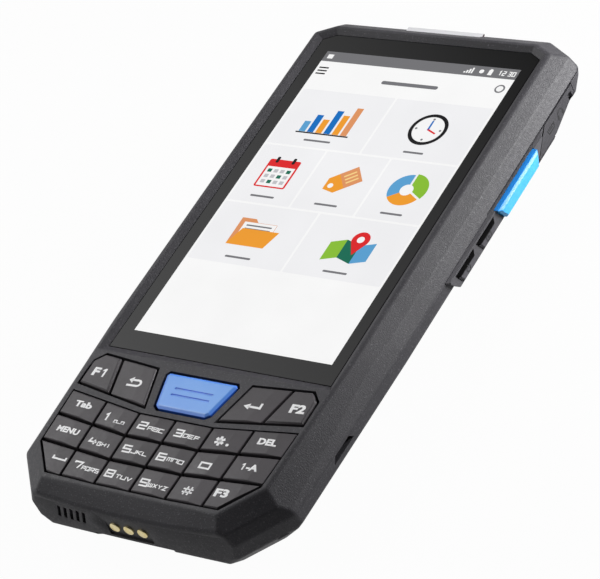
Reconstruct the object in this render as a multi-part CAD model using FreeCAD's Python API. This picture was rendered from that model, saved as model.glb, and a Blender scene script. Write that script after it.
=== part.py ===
import FreeCAD, Part
import math
import os

from FreeCAD import Vector

# Handheld barcode data terminal lying on its back, screen up.
# Frame: X to the right side, Y toward the scanner end, Z up out of the screen.
# The origin is the middle of the rest plane. Millimetres and degrees.
# Places along Y are given as a distance from the bottom end, and up() turns them into Y.

# Body
body_length = 143.8
body_width = 72.0
half_width = body_width / 2
rim_height = 18.0
shell_wall = 1.6
edge_radius = 1.5

# Levels of the outer edge lines
crest_height = 15.2
seam_height = 12.3
shoulder_height = 9.2

# How far the edge lines lie inside the side walls and the top end
rim_inset = 4.6
crest_inset = 1.7
top_crest_inset = 0.95
back_inset = 9.2
top_back_inset = 7.4

# The sides draw in a little toward the bottom end
rim_taper = 2.3
rim_taper_start = 48.3
wall_taper = 1.0
wall_taper_start = 55.3

# Bottom end
end_bow = 0.9
end_bow_half_width = 24.0
end_draft = 0.11
lip_setback = 4.6
end_crest_setback = 0.8
end_shoulder_height = 8.1
end_back_inset = 6.6
end_relief_half_width = 10.3
end_relief_shoulder = 8.7
end_relief_inset = 7.4
end_parting = 10.8
end_seam_height = 14.6

# Corner facets
low_corner_angle = 40.7
low_corner_rise = 12.85
low_corner_lip_inset = 4.7
low_corner_crest_inset = 1.2
low_corner_foot_inset = 0.3
low_corner_shoulder = 8.5
low_corner_back_inset = 8.3
top_corner_angle = 60.8
top_corner_drop = 4.9
top_corner_rim_inset = 4.2
top_corner_crest_inset = 0.7
top_corner_shoulder = 11.8
top_corner_back_inset = 13.0

# Display stack
glass_recess = 1.0
glass_thickness = 1.0
glass_side = 7.0
glass_start = 40.4
glass_end = 6.6
glass_width = body_width - 2 * glass_side
glass_length = body_length - glass_start - glass_end
glass_corner_x = 3.0
glass_corner_y = 1.7
pocket_gap = 0.2
rim_bevel_side = 1.3
rim_bevel_top = 1.05
rim_bevel_low = 1.8
seal_thickness = 0.3
seal_width = 1.2
ledge_thickness = 1.2
screen_side = 1.8
screen_margin_low = 3.5
screen_margin_top = 3.0
screen_width = glass_width - 2 * screen_side
screen_start = glass_start + screen_margin_low
screen_length = glass_length - screen_margin_low - screen_margin_top
screen_thickness = 2.3
screen_gap = 0.4

# Keypad
key_travel = 0.5
key_gap = 0.7
lip_gap = 0.25
key_rise = 0.35
key_thickness = 2.0
key_bevel = 0.35
ridge_share = 0.6
left_facet_drop = 0.08
right_facet_drop = 0.34
ridge_drop = 0.07
keypad_wall = 1.8
keypad_side = 6.6
keypad_low_side = 7.2
keypad_half_width = half_width - keypad_side
keypad_low_half_width = half_width - keypad_low_side
column_share = 0.32
column_pitch = keypad_half_width * column_share
column_fan = 0.0022
column_level = 15.0
row_lines = (24.5, 18.25, 11.85, 5.25)
row_rises = (2.6, 2.2, 1.6, 0.5)
keypad_low_level = 12.0
keypad_corner_inset = 0.95
upper_line = 36.0
upper_line_rise = 1.7
bar_width = 1.35
bar_rise = 0.45
upper_corner_x = 2.2
upper_corner_y = 2.5
side_split_top = 22.45
side_split_bottom = 19.95
inner_split_top = 12.3
inner_split_bottom = 9.3
centre_half_top = 9.75
centre_half_bottom = 7.15
centre_top = 35.9
centre_bottom = 26.0
centre_corner = 0.9
centre_bevel = 0.7
groove_width = 0.35
groove_depth = 0.2
groove_half_length = 4.9
groove_levels = (31.9, 30.2)

# Keypad mat and board
dome_gap = 0.12
dome_height = 0.6
dome_radius = 2.2
mat_thickness = 0.9
mat_side = 7.8
mat_half_width = half_width - mat_side
mat_start = 6.4
mat_end = 36.4
mat_corner = 5.5
board_thickness = 0.8

# Frame plate behind the screen
plate_thickness = 0.8
plate_half_width = mat_half_width
plate_start = 7.4
plate_end = body_length - 12.0
stud_radius = 1.5
stud_inset = 6.2
stud_x = plate_half_width - stud_inset
stud_levels = (48.0, 88.0, plate_end - 11.8)

# Main board
main_board_drop = 1.4
main_board_thickness = 1.0
main_board_side = 1.4
main_board_half_width = plate_half_width - main_board_side
main_board_start = 42.3
main_board_end = body_length - 12.3
engine_notch_side = 2.4
engine_notch_gap = 0.4
can_thickness = 1.3
can_side = 2.8
can_margin = 7.7
can_inner_edges = (4.0, 0.0)
can_lengths = (28.0, 34.0)

# Housing screws
screw_radius = 1.0
screw_clearance = 0.03
screw_head_radius = 1.9
screw_head_height = 1.2
screw_length = 7.0
screw_seat = 8.0
screw_places = ((17.5, body_length - 7.0), (half_width - 4.8, 60.3), (half_width - 5.6, 18.3))
screw_end_gap = 0.3
screw_passage_gap = 0.15
socket_share = 0.6
boss_radius = 1.8
boss_gap = 0.3
post_radius = 2.7
head_clearance = 0.2

# Battery bay and door, on the back
battery_start = 26.7
battery_end = 47.1
battery_length = body_length - battery_start - battery_end
battery_height = 5.1
battery_clearance = 0.4
bay_wall = 1.2
door_recess = 0.3
door_thickness = 1.4
door_side = 11.6
door_width = body_width - 2 * door_side
battery_side = 1.9
battery_width = door_width - 2 * battery_side
door_start = 17.4
door_margin = 10.1
door_length = battery_start + battery_length + door_margin - door_start
door_gap = 0.2
door_lift = 10.0
lock_radius = 4.0
lock_shank_radius = 1.75
lock_shank_length = 4.2
lock_fit = 0.05
lock_head_height = 0.55
lock_slot_width = 1.2
lock_head_sink = 0.1
lock_slot_share = 0.7
lock_wall = 2.2
lock_levels = (door_start + 5.0, door_start + door_length - 4.6)
terminal_half_width = 6.0
terminal_thickness = 1.1
terminal_height = 3.6
terminal_rise = 0.6

# Scanner end
window_half_width = 10.2
window_low = 7.2
window_recess = 2.4
window_thickness = 1.2
window_top = 15.7
window_notch_top = 16.3
window_margin = 1.0
engine_half_width = 10.8
engine_depth = 14.0
engine_height = 6.6
engine_rest = 5.2
engine_gap = 1.9
engine_rib_width = 2.0

# Bottom end fittings
slot_count = 5
slot_pitch = 1.71
slot_first_x = -18.0
slot_width = 0.8
slot_height = 3.4
slot_level = 13.7
slot_lean = 20.0
contact_half_width = 5.7
contact_low = 9.2
contact_top = 13.5
contact_depth = 0.6
contact_block_depth = 3.0
contact_wall = 1.0
contact_block_margin = 0.7
pin_back = 0.5
pin_radius = 1.2
pin_pitch = 3.6
pin_level = 11.6
pin_rise = 0.5
mic_width = 3.8
mic_depth = 2.4
mic_low = 10.6
mic_height = 2.8
mic_start = 2.75

# Side keys
bezel_start = body_length - 69.5
bezel_end = body_length - 24.8
bezel_lean = 0.75
bezel_end_lean = 1.25
bezel_reach = half_width + 0.8
bezel_top = 12.2
bezel_low = 6.6
bezel_face_top = 11.9
bezel_face_low = 8.3
bezel_end_chamfer = 0.8
side_key_travel = 0.6
side_key_gap = 0.15
side_key_lean = 0.5
side_key_root = half_width - 2.15
flange_thickness = 0.45
flange_margin = 0.3
scan_key_start = body_length - 48.0
scan_key_end = body_length - 29.4
scan_key_reach = half_width + 2.0
scan_key_low = 8.4
scan_key_top = 11.9
scan_key_bevel = 0.5
small_key_starts = (body_length - 66.5, body_length - 57.2)
small_key_length = 7.9
small_key_reach = half_width + 1.3
small_key_low = 8.5
small_key_top = 11.3
small_key_bevel = 0.45
switch_gap = 0.15
switch_thickness = 1.8
strip_thickness = 0.6
strip_low = 9.4
strip_top = 11.4
switch_half_width = 2.2
rib_width = 2.0
rib_thickness = 1.2
seam_groove = 0.2
seam_groove_start = body_length - 49.8

# Port rail, cover and ports on the right side
rail_low = 6.9
rail_foot = 5.2
rail_turn = body_length - 21.5
rail_rise = 0.27
rail_end = body_length - 9.3
cover_thickness = 1.5
cover_low = 7.3
cover_start_low = body_length - 28.5
cover_start_top = body_length - 22.7
cover_turn = body_length - 19.3
cover_end = body_length - 9.8
cover_end_low = 9.8
cover_gap = 0.2
cover_wedge = 1.6
cover_relief = 0.6
grip_level = body_length - 12.2
grip_width = 1.5
grip_top = 11.0
grip_depth = 0.7
port_wall = 1.5
port_inset = 0.2
port_gap = 0.15
port_margin = 0.5
usb_start = body_length - 22.6
usb_width = 7.6
usb_height = 2.6
usb_depth = 7.4
usb_level = 10.3
usb_shell = 0.35
usb_back_wall = 2.0
jack_radius = 1.75
jack_level = body_length - 12.5
jack_width = 4.4
jack_height = 3.8
jack_depth = 10.5
plug_gap = 0.45
plug_depth = 0.8

# Strap slot on the right wall and notch at the right low corner
strap_start = 26.2
strap_end = 34.0
strap_low = 10.6
strap_top = 12.0
strap_slope = 1.2
strap_depth = 2.2
strap_wall = 1.2
notch_x = half_width - 4.1
notch_y = 9.3
corner_notch_radius = 1.5
corner_notch_depth = 1.2

# Back fittings
camera_x = 14.0
camera_level = body_length - 26.8
camera_radius = 4.6
camera_view_radius = 3.4
camera_module_half = 4.2
camera_module_height = 5.4
flash_x = 4.0
flash_radius = 1.9
window_glass = 0.8
window_sink = 0.3
speaker_x = -15.0
speaker_level = body_length - 30.3
speaker_width = 15.0
speaker_length = 11.0
speaker_height = 3.0
speaker_slots = 4
speaker_slot_width = 1.0
speaker_slot_pitch = 2.2
speaker_slot_length = 9.0

# How far tools and fused pieces run past the face they meet
overlap = 0.1

# Derived levels and places
glass_top = rim_height - glass_recess
glass_floor = glass_top - glass_thickness
ledge_top = glass_floor - seal_thickness
ledge_low = ledge_top - ledge_thickness
screen_low = glass_floor - screen_thickness
keypad_low = rim_height - keypad_wall
key_top = rim_height + key_rise
key_low = key_top - key_thickness
dome_top = key_low - key_travel - dome_gap
mat_top = dome_top - dome_height
mat_low = mat_top - mat_thickness
plate_top = mat_low - board_thickness
plate_low = plate_top - plate_thickness
main_board_top = plate_low - main_board_drop
main_board_low = main_board_top - main_board_thickness
door_top = door_recess + door_thickness
battery_low = door_top + door_gap
bay_top = battery_low + battery_height + door_gap
big = 4 * body_length


def up(distance):
    """Y of a place given as its distance from the bottom end."""
    return distance - body_length / 2


def box(x0, x1, y0, y1, z0, z1):
    return Part.makeBox(x1 - x0, y1 - y0, z1 - z0, Vector(x0, y0, z0))


def mirror_x(shape):
    return shape.mirror(Vector(0, 0, 0), Vector(1, 0, 0))


def both_sides(shape):
    return shape.fuse(mirror_x(shape))


def fuse_all(shapes):
    return shapes[0].multiFuse(shapes[1:]).removeSplitter() if len(shapes) > 1 else shapes[0]


def cut_beyond(shape, normal, distance):
    """Cut away everything beyond the plane with this outward normal and distance from the origin."""
    tool = Part.makeBox(big, big, big, Vector(-big / 2, -big / 2, 0))
    tool.Placement = FreeCAD.Placement(normal * distance, FreeCAD.Rotation(Vector(0, 0, 1), normal))
    return shape.cut(tool)


def facet(angle, point, inset_a, height_a, inset_b, height_b):
    """Outward normal and distance of a sloped face.

    The face meets two level lines square to the plan angle, each inset from the plan point."""
    along = Vector(math.cos(math.radians(angle)), math.sin(math.radians(angle)), 0)
    reach = along.x * point[0] + along.y * point[1]
    reach_a = reach - inset_a
    reach_b = reach - inset_b
    normal = along * (height_a - height_b) + Vector(0, 0, reach_b - reach_a)
    normal.normalize()
    flat = along.dot(normal)
    return normal, flat * reach_a + normal.z * height_a


def outer_facets():
    side = (half_width, 0)
    rim_pivot = (half_width, up(rim_taper_start))
    wall_pivot = (half_width, up(wall_taper_start))
    low_corner = (half_width, up(low_corner_rise))
    top_corner = (half_width, up(body_length - top_corner_drop))
    right = [
        facet(0, side, rim_inset, rim_height, crest_inset, crest_height),
        facet(0, side, crest_inset, crest_height, 0, seam_height),
        facet(0, side, 0, seam_height, 0, shoulder_height),
        facet(0, side, 0, shoulder_height, back_inset, 0),
        facet(-rim_taper, rim_pivot, rim_inset, rim_height, crest_inset, crest_height),
        facet(-wall_taper, wall_pivot, crest_inset, crest_height, 0, seam_height),
        facet(-wall_taper, wall_pivot, 0, seam_height, 0, shoulder_height),
        facet(-wall_taper, wall_pivot, 0, shoulder_height, back_inset, 0),
        facet(-low_corner_angle, low_corner, low_corner_lip_inset, rim_height,
              low_corner_crest_inset, crest_height),
        facet(-low_corner_angle, low_corner, low_corner_crest_inset, crest_height, 0, seam_height),
        facet(-low_corner_angle, low_corner, 0, seam_height, low_corner_foot_inset,
              low_corner_shoulder),
        facet(-low_corner_angle, low_corner, low_corner_foot_inset, low_corner_shoulder,
              low_corner_back_inset, 0),
        facet(top_corner_angle, top_corner, top_corner_rim_inset, rim_height,
              top_corner_crest_inset, crest_height),
        facet(top_corner_angle, top_corner, top_corner_crest_inset, crest_height, 0, seam_height),
        facet(top_corner_angle, top_corner, 0, seam_height, 0, top_corner_shoulder),
        facet(top_corner_angle, top_corner, 0, top_corner_shoulder, top_corner_back_inset, 0),
    ]
    left = [(Vector(-normal.x, normal.y, normal.z), distance) for normal, distance in right]
    bottom = (0, up(0))
    top = (0, up(body_length))
    ends = [
        facet(-90, bottom, lip_setback, rim_height, end_crest_setback, crest_height),
        facet(-90, bottom, 0, end_shoulder_height, end_back_inset, 0),
        facet(90, top, rim_inset, rim_height, top_crest_inset, crest_height),
        facet(90, top, top_crest_inset, crest_height, 0, seam_height),
        facet(90, top, 0, shoulder_height, top_back_inset, 0),
    ]
    return right + left + ends


def bowed_block(inset):
    """Block between the levels; the bottom end is bowed in plan and leans in toward the top."""
    radius = (end_bow_half_width ** 2 + end_bow ** 2) / (2 * end_bow)
    low_radius = radius + end_draft * (end_shoulder_height - inset) - inset
    top_radius = radius - end_draft * (rim_height - inset - end_shoulder_height) - inset
    centre = Vector(0, up(0) + radius, inset)
    drum = Part.makeCone(low_radius, top_radius, rim_height - 2 * inset, centre)
    return drum.common(box(-half_width, half_width, up(-1), up(body_length) - inset, inset,
                           rim_height - inset))


def hull(inset):
    """Outer form of the closed body, with every face moved in by inset."""
    shape = bowed_block(inset)
    for normal, distance in outer_facets():
        shape = cut_beyond(shape, normal, distance - inset)
    return shape


def outer_form():
    """Outer form of the closed body with all its edges rounded."""
    return hull(edge_radius).makeOffsetShape(edge_radius, 0.001, True, False, 0, 0)


def end_relief(inset):
    """Wedge that lifts the middle of the bottom end's lower edge above its corners."""
    normal, distance = facet(-90, (0, up(0)), 0, end_relief_shoulder, end_relief_inset, 0)
    block = box(-end_relief_half_width, end_relief_half_width, up(-1), up(end_back_inset * 2),
                -1, rim_height)
    return block.cut(cut_beyond(block, normal, distance - inset))


def above_parting():
    upper = box(-body_width, body_width, up(end_parting), up(body_length + 1), seam_height,
                rim_height + 1)
    low_end = box(-body_width, body_width, up(-1), up(end_parting), end_seam_height,
                  rim_height + 1)
    return upper.fuse(low_end)


def convex_block(points, inset, low, top):
    """Upright block over a convex outline, listed anticlockwise, each wall moved in by inset."""
    xs = [point[0] for point in points]
    ys = [point[1] for point in points]
    margin = abs(inset) + 1
    shape = box(min(xs) - margin, max(xs) + margin, min(ys) - margin, max(ys) + margin, low, top)
    for first, second in zip(points, points[1:] + points[:1]):
        normal, distance = wall_plane(first, second)
        shape = cut_beyond(shape, normal, distance - inset)
    return shape


def wall_plane(first, second):
    normal = Vector(second[1] - first[1], first[0] - second[0], 0)
    normal.normalize()
    return normal, normal.x * first[0] + normal.y * first[1]


def bevelled_block(points, inset, low, top, bevel, fall):
    """Convex block with a sloped band of this width and fall round its top."""
    shape = convex_block(points, inset, low, top)
    for first, second in zip(points, points[1:] + points[:1]):
        normal, distance = wall_plane(first, second)
        slope = normal * fall + Vector(0, 0, bevel)
        slope.normalize()
        reach = distance - inset
        offset = normal.dot(slope) * reach + slope.z * (top - fall)
        shape = cut_beyond(shape, slope, offset)
    return shape


def row_y(row, x):
    """Y of a gap line of the key block at this x: flat in the middle, rising toward the sides."""
    outer = max(0, abs(x) - column_pitch) / (keypad_half_width - column_pitch)
    return up(row_lines[row] + row_rises[row] * outer)


def column_x(column, y):
    """X of a gap line between columns, or of the opening's side at column 3 or -3."""
    if abs(column) == 3:
        share = (up(row_lines[0]) - y) / (row_lines[0] - keypad_low_level)
        half = keypad_half_width + (keypad_low_half_width - keypad_half_width) * share
        return math.copysign(half, column)
    return column * column_pitch * (1 + column_fan * (y - up(column_level)))


def crossing(row, column):
    y = up(row_lines[row])
    for step in range(4):
        x = column_x(column, y)
        y = row_y(row, x)
    return x, y


def low_corner_plane():
    """Plan facet that cuts the key block's low corners."""
    normal, distance = facet(-low_corner_angle, (half_width, up(low_corner_rise)),
                             low_corner_lip_inset, rim_height, low_corner_lip_inset, 0)
    return normal, distance - keypad_corner_inset


def key_cell(row, column):
    """Corners of a cell of the key block, anticlockwise from its low left corner."""
    return [crossing(row + 1, column), crossing(row + 1, column + 1),
            crossing(row, column + 1), crossing(row, column)]


def cut_low_corners(shape, inset):
    normal, distance = low_corner_plane()
    shape = cut_beyond(shape, normal, distance - inset)
    return cut_beyond(shape, Vector(-normal.x, normal.y, 0), distance - inset)


def ridged(shape, points, ridge_top):
    """Give a key its off-centre ridge: a shallow facet on the left and a deeper one on the right."""
    left = min(point[0] for point in points)
    right = max(point[0] for point in points)
    ridge = left + (right - left) * ridge_share
    lean = (points[3][0] + points[2][0] - points[0][0] - points[1][0]) / 2
    rise = (points[3][1] + points[2][1] - points[0][1] - points[1][1]) / 2
    middle = (points[0][1] + points[1][1] + points[2][1] + points[3][1]) / 4
    across = Vector(rise, -lean, 0)
    across.normalize()
    level = across.x * ridge + across.y * middle
    for sign, width, drop in ((-1, ridge - left, left_facet_drop), (1, right - ridge, right_facet_drop)):
        normal = across * (sign * drop) + Vector(0, 0, width)
        normal.normalize()
        distance = level * across.dot(normal) + normal.z * ridge_top
        shape = cut_beyond(shape, normal, distance)
    return shape


def plain_key(points, facets=True):
    """Key cap over this cell: gap all round, narrow bevel and an off-centre ridge."""
    shape = bevelled_block(points, key_gap / 2, key_low, key_top, key_bevel, key_bevel)
    if facets:
        shape = ridged(shape, points, key_top - ridge_drop)
    return cut_low_corners(shape, key_gap / 2)


def upper_y(x):
    """Y of the keypad opening's upper edge at this x."""
    outer = max(0, abs(x) - centre_half_top) / (keypad_half_width - centre_half_top)
    return up(upper_line + upper_line_rise * outer)


def bar_y(x):
    """Y of the divider bar's upper edge at this x."""
    outer = max(0, abs(x) - column_pitch) / (keypad_half_width - column_pitch)
    return row_y(0, x) + bar_width + bar_rise * outer


def upper_cells():
    """Outlines of the keys right of the centre key: enter beside it, F2 at the side."""
    enter = [
        (inner_split_bottom, bar_y(inner_split_bottom)),
        (side_split_bottom, bar_y(side_split_bottom)),
        (side_split_top, upper_y(side_split_top)),
        (inner_split_top, upper_y(inner_split_top)),
    ]
    side = [
        (side_split_bottom, bar_y(side_split_bottom)),
        (keypad_half_width, bar_y(keypad_half_width)),
        (keypad_half_width, upper_y(keypad_half_width) - upper_corner_y),
        (keypad_half_width - upper_corner_x, upper_y(keypad_half_width - upper_corner_x)),
        (side_split_top, upper_y(side_split_top)),
    ]
    return enter, side


def mirrored_outline(points):
    return [(-x, y) for x, y in reversed(points)]


def centre_outline():
    slope = (centre_half_top - centre_half_bottom) / (centre_top - centre_bottom)
    right = [
        (centre_half_bottom - centre_corner, up(centre_bottom)),
        (centre_half_bottom + slope * centre_corner, up(centre_bottom + centre_corner)),
        (centre_half_top - slope * centre_corner, up(centre_top - centre_corner)),
        (centre_half_top - centre_corner, up(centre_top)),
    ]
    return right + [(-x, y) for x, y in reversed(right)]


def centre_key():
    shape = bevelled_block(centre_outline(), key_gap / 2, key_low, key_top, centre_bevel,
                           key_bevel)
    for level in groove_levels:
        shape = shape.cut(box(-groove_half_length, groove_half_length, up(level - groove_width / 2),
                              up(level + groove_width / 2), key_top - groove_depth, key_top + 1))
    return shape


def key_shapes():
    """All front keys by node name."""
    enter, side = upper_cells()
    keys = {
        "key_f1": plain_key(mirrored_outline(side), False),
        "key_back": plain_key(mirrored_outline(enter)),
        "key_scan_centre": centre_key(),
        "key_enter": plain_key(enter),
        "key_f2": plain_key(side, False),
    }
    names = (
        ("key_tab", "key_1", "key_2", "key_3", "key_star", "key_del"),
        ("key_menu", "key_4", "key_5", "key_6", "key_0", "key_shift"),
        ("key_space", "key_7", "key_8", "key_9", "key_hash", "key_f3"),
    )
    for row, row_names in enumerate(names):
        for index, name in enumerate(row_names):
            keys[name] = plain_key(key_cell(row, index - 3))
    return keys


def keypad_openings():
    """Tools that cut the four key openings through the front housing."""
    low = keypad_low - 1
    top = rim_height + 1
    enter, side = upper_cells()
    pair = [enter[0], side[1], side[2], side[3], enter[3]]
    right = convex_block(pair, -lip_gap, low, top)
    lower = [crossing(3, column) for column in (-3, -1, 1, 3)]
    upper = [crossing(0, column) for column in (3, 1, -1, -3)]
    corners = [Vector(x, y, low) for x, y in lower + upper + lower[:1]]
    block = Part.Face(Part.makePolygon(corners)).extrude(Vector(0, 0, top - low))
    block = cut_low_corners(block, -lip_gap)
    centre = convex_block(centre_outline(), -lip_gap, low, top)
    return [right, mirror_x(right), centre, block]


def glass_outline():
    half = glass_width / 2
    start = up(glass_start)
    end = up(glass_start + glass_length)
    return [(-half, start), (half, start), (half, end - glass_corner_y),
            (half - glass_corner_x, end), (-half + glass_corner_x, end),
            (-half, end - glass_corner_y)]


def rim_bevel():
    """Tool for the sloped band that runs from the glass pocket up to the rim."""
    points = glass_outline()
    corner = (rim_bevel_side + rim_bevel_top) / 2
    runs = (rim_bevel_low, rim_bevel_side, corner, rim_bevel_top, corner, rim_bevel_side)
    tool = box(-half_width, half_width, up(0), up(body_length), glass_top, rim_height + 1)
    for first, second, run in zip(points, points[1:] + points[:1], runs):
        normal, distance = wall_plane(first, second)
        slope = normal * glass_recess - Vector(0, 0, run)
        slope.normalize()
        offset = normal.dot(slope) * (distance + pocket_gap) + slope.z * glass_top
        tool = cut_beyond(tool, slope, offset)
    return tool


def screw_points():
    return [(side * x, up(level)) for x, level in screw_places for side in (1, -1)]


def front_bosses():
    shape = None
    for x, y in screw_points():
        boss = Part.makeCylinder(boss_radius, keypad_low - seam_height + overlap,
                                 Vector(x, y, seam_height))
        shape = boss if shape is None else shape.fuse(boss)
    return shape


def front_housing():
    inner = hull(shell_wall)
    band = hull(shell_wall / 2)
    shell = outer_form().cut(inner)
    display_floor = band.common(box(-half_width, half_width, up(mat_end + shell_wall),
                                    up(body_length), ledge_low, rim_height))
    key_wall = band.common(box(-half_width, half_width, up(0), up(glass_start - seal_width),
                               keypad_low, rim_height))
    bosses = front_bosses().common(band)
    shape = shell.common(above_parting()).multiFuse([display_floor, key_wall, bosses])
    shape = shape.cut(convex_block(glass_outline(), -pocket_gap, ledge_top, rim_height + 1))
    shape = shape.cut(rim_bevel())
    screen_half = screen_width / 2 + screen_gap
    shape = shape.cut(box(-screen_half, screen_half, up(screen_start - screen_gap),
                          up(screen_start + screen_length + screen_gap), 0, rim_height))
    for tool in keypad_openings():
        shape = shape.cut(tool)
    for x, y in screw_points():
        shape = shape.cut(Part.makeCylinder(screw_radius + screw_clearance, screw_length,
                                            Vector(x, y, screw_seat + screw_end_gap)))
    for tool in (window_notch(), scanner_window(), scanner_passage()):
        shape = shape.cut(tool)
    groove = box(half_width - seam_groove * 2, half_width + 1, up(seam_groove_start),
                 up(body_length), seam_height, seam_height + seam_groove)
    return shape.cut(both_sides(groove)).removeSplitter()


def display_glass():
    return convex_block(glass_outline(), 0, glass_floor, glass_top)


def display_seal():
    outline = glass_outline()
    return convex_block(outline, 0, ledge_top, glass_floor).cut(
        convex_block(outline, seal_width, ledge_top, glass_floor))


def screen_module():
    half = screen_width / 2
    return box(-half, half, up(screen_start), up(screen_start + screen_length), screen_low,
               glass_floor)


def mat_outline():
    half = mat_half_width
    return [(-half + mat_corner, up(mat_start)), (half - mat_corner, up(mat_start)),
            (half, up(mat_start + mat_corner)), (half, up(mat_end)), (-half, up(mat_end)),
            (-half, up(mat_start + mat_corner))]


def keypad_mat(keys):
    shape = convex_block(mat_outline(), 0, mat_low, mat_top)
    domes = []
    for key in keys.values():
        centre = key.BoundBox.Center
        domes.append(Part.makeCylinder(dome_radius, dome_height + mat_thickness / 2,
                                       Vector(centre.x, centre.y, mat_top - mat_thickness / 2)))
    shape = shape.multiFuse(domes)
    return cut_bosses(shape, boss_radius + boss_gap)


def cut_bosses(shape, radius):
    for x, y in screw_points():
        shape = shape.cut(Part.makeCylinder(radius, rim_height, Vector(x, y, 0)))
    return shape


def keypad_board():
    return cut_bosses(convex_block(mat_outline(), 0, plate_top, mat_low), boss_radius + boss_gap)


def frame_plate():
    half = plate_half_width
    outline = [(-half + mat_corner, up(plate_start)), (half - mat_corner, up(plate_start)),
               (half, up(plate_start + mat_corner)), (half, up(plate_end)), (-half, up(plate_end)),
               (-half, up(plate_start + mat_corner))]
    shape = convex_block(outline, 0, plate_low, plate_top)
    studs = []
    for level in stud_levels:
        for x in (-stud_x, stud_x):
            studs.append(Part.makeCylinder(stud_radius, main_board_drop + plate_thickness / 2,
                                           Vector(x, up(level), main_board_top)))
    return cut_bosses(shape.multiFuse(studs), boss_radius + boss_gap)


def usb_box(grow, x0, x1):
    return box(x0, x1, up(usb_start) - grow, up(usb_start + usb_width) + grow,
               usb_level - usb_height / 2 - grow, usb_level + usb_height / 2 + grow)


def jack_box(grow, x0, x1):
    return box(x0, x1, up(jack_level) - jack_width / 2 - grow, up(jack_level) + jack_width / 2 + grow,
               usb_level - jack_height / 2 - grow, usb_level + jack_height / 2 + grow)


def main_board():
    half = main_board_half_width
    shape = box(-half, half, up(main_board_start), up(main_board_end), main_board_low,
                main_board_top)
    notch_half = engine_half_width + engine_notch_side
    shape = shape.cut(box(-notch_half, notch_half, up(engine_end() - engine_depth - engine_notch_gap),
                          up(body_length), 0, rim_height))
    shape = cut_bosses(shape, post_radius + boss_gap)
    shape = shape.cut(usb_box(0, usb_back(), half_width))
    return shape.cut(jack_box(0, jack_back(), half_width))


def pocket_floor():
    """X of the port pocket's floor, where the cover's inner face lies."""
    return half_width - cover_thickness


def port_face():
    return pocket_floor() - port_inset


def usb_back():
    return port_face() - usb_depth


def jack_back():
    return port_face() - jack_depth


def usb_connector():
    shell = usb_box(0, usb_back(), port_face())
    return shell.cut(usb_box(-usb_shell, usb_back() + usb_back_wall, port_face()))


def headphone_jack():
    body = jack_box(0, jack_back(), port_face())
    return body.cut(Part.makeCylinder(jack_radius, jack_depth - 1,
                                      Vector(jack_back() + 1, up(jack_level), usb_level),
                                      Vector(1, 0, 0)))


def shield_cans():
    outer = main_board_half_width - can_side
    start = up(main_board_start + can_margin)
    cans = []
    for side, inner, length in zip((-1, 1), can_inner_edges, can_lengths):
        low_x, high_x = sorted((side * inner, side * outer))
        cans.append(box(low_x, high_x, start, start + length, main_board_low - can_thickness,
                        main_board_low))
    return Part.makeCompound(cans)


def window_notch():
    """Pocket in the middle of the top end that holds the scanner window."""
    return box(-window_half_width, window_half_width, up(body_length - window_recess),
               up(body_length + 1), window_low, window_notch_top)


def scanner_window():
    inner = body_length - window_recess - window_thickness
    return box(-window_half_width, window_half_width, up(inner), up(inner + window_thickness),
               window_low, window_top)


def engine_end():
    return body_length - window_recess - window_thickness - engine_gap


def scan_engine():
    end = engine_end()
    return box(-engine_half_width, engine_half_width, up(end - engine_depth), up(end), engine_rest,
               engine_rest + engine_height)


def bezel_section():
    """Section of the right side bezel in X and Z, anticlockwise from the back."""
    wall_x = half_width - shell_wall
    slope = back_inset / shoulder_height
    return [
        (half_width - (shoulder_height - bezel_low) * slope, bezel_low),
        (bezel_reach - (bezel_face_low - bezel_low), bezel_low),
        (bezel_reach, bezel_face_low),
        (bezel_reach, bezel_face_top),
        (half_width + overlap, bezel_top),
        (wall_x, bezel_top),
        (wall_x, shoulder_height - shell_wall / slope),
    ]


def extrude_y(section, start, end):
    """Solid with this X and Z section between two Y places."""
    points = [Vector(x, start, z) for x, z in section]
    face = Part.Face(Part.makePolygon(points + points[:1]))
    return face.extrude(Vector(0, end - start, 0))


def side_keys():
    """Right side keys by short name: place, size, reach and bevel."""
    keys = {"scan": (scan_key_start, scan_key_end, scan_key_low, scan_key_top, scan_key_reach,
                     scan_key_bevel)}
    for name, start in zip(("lower", "upper"), small_key_starts):
        keys[name] = (start, start + small_key_length, small_key_low, small_key_top,
                      small_key_reach, small_key_bevel)
    return keys


def key_section(start, end, low, top, grow):
    """Side key outline in Y and Z, narrower at its lower edge, grown all round."""
    lean = side_key_lean * (top - low)
    return [(up(start + lean) - grow, low - grow), (up(end - lean) + grow, low - grow),
            (up(end) + grow, top + grow), (up(start) - grow, top + grow)]


def side_key(start, end, low, top, reach, bevel):
    """Key that travels along X: a bevelled face, a body through the bezel and a flange inside."""
    section = key_section(start, end, low, top, 0)
    shape = extrude_x(section, side_key_root, reach)
    for first, second in zip(section, section[1:] + section[:1]):
        edge = Vector(0, second[1] - first[1], first[0] - second[0])
        edge.normalize()
        distance = edge.y * first[0] + edge.z * first[1]
        slope = Vector(1, 0, 0) + edge
        length = slope.Length
        slope.normalize()
        shape = cut_beyond(shape, slope, (reach + distance - bevel) / length)
    flange = extrude_x(key_section(start, end, low, top, flange_margin), side_key_root,
                       side_key_root + flange_thickness)
    return shape.fuse(flange).removeSplitter()


def lean_plane(place, side, lean):
    """Plane across X through this Y at the bezel's top, leaning inward below it."""
    normal = Vector(0, side, -lean)
    normal.normalize()
    return normal, normal.y * place + normal.z * bezel_top


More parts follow.
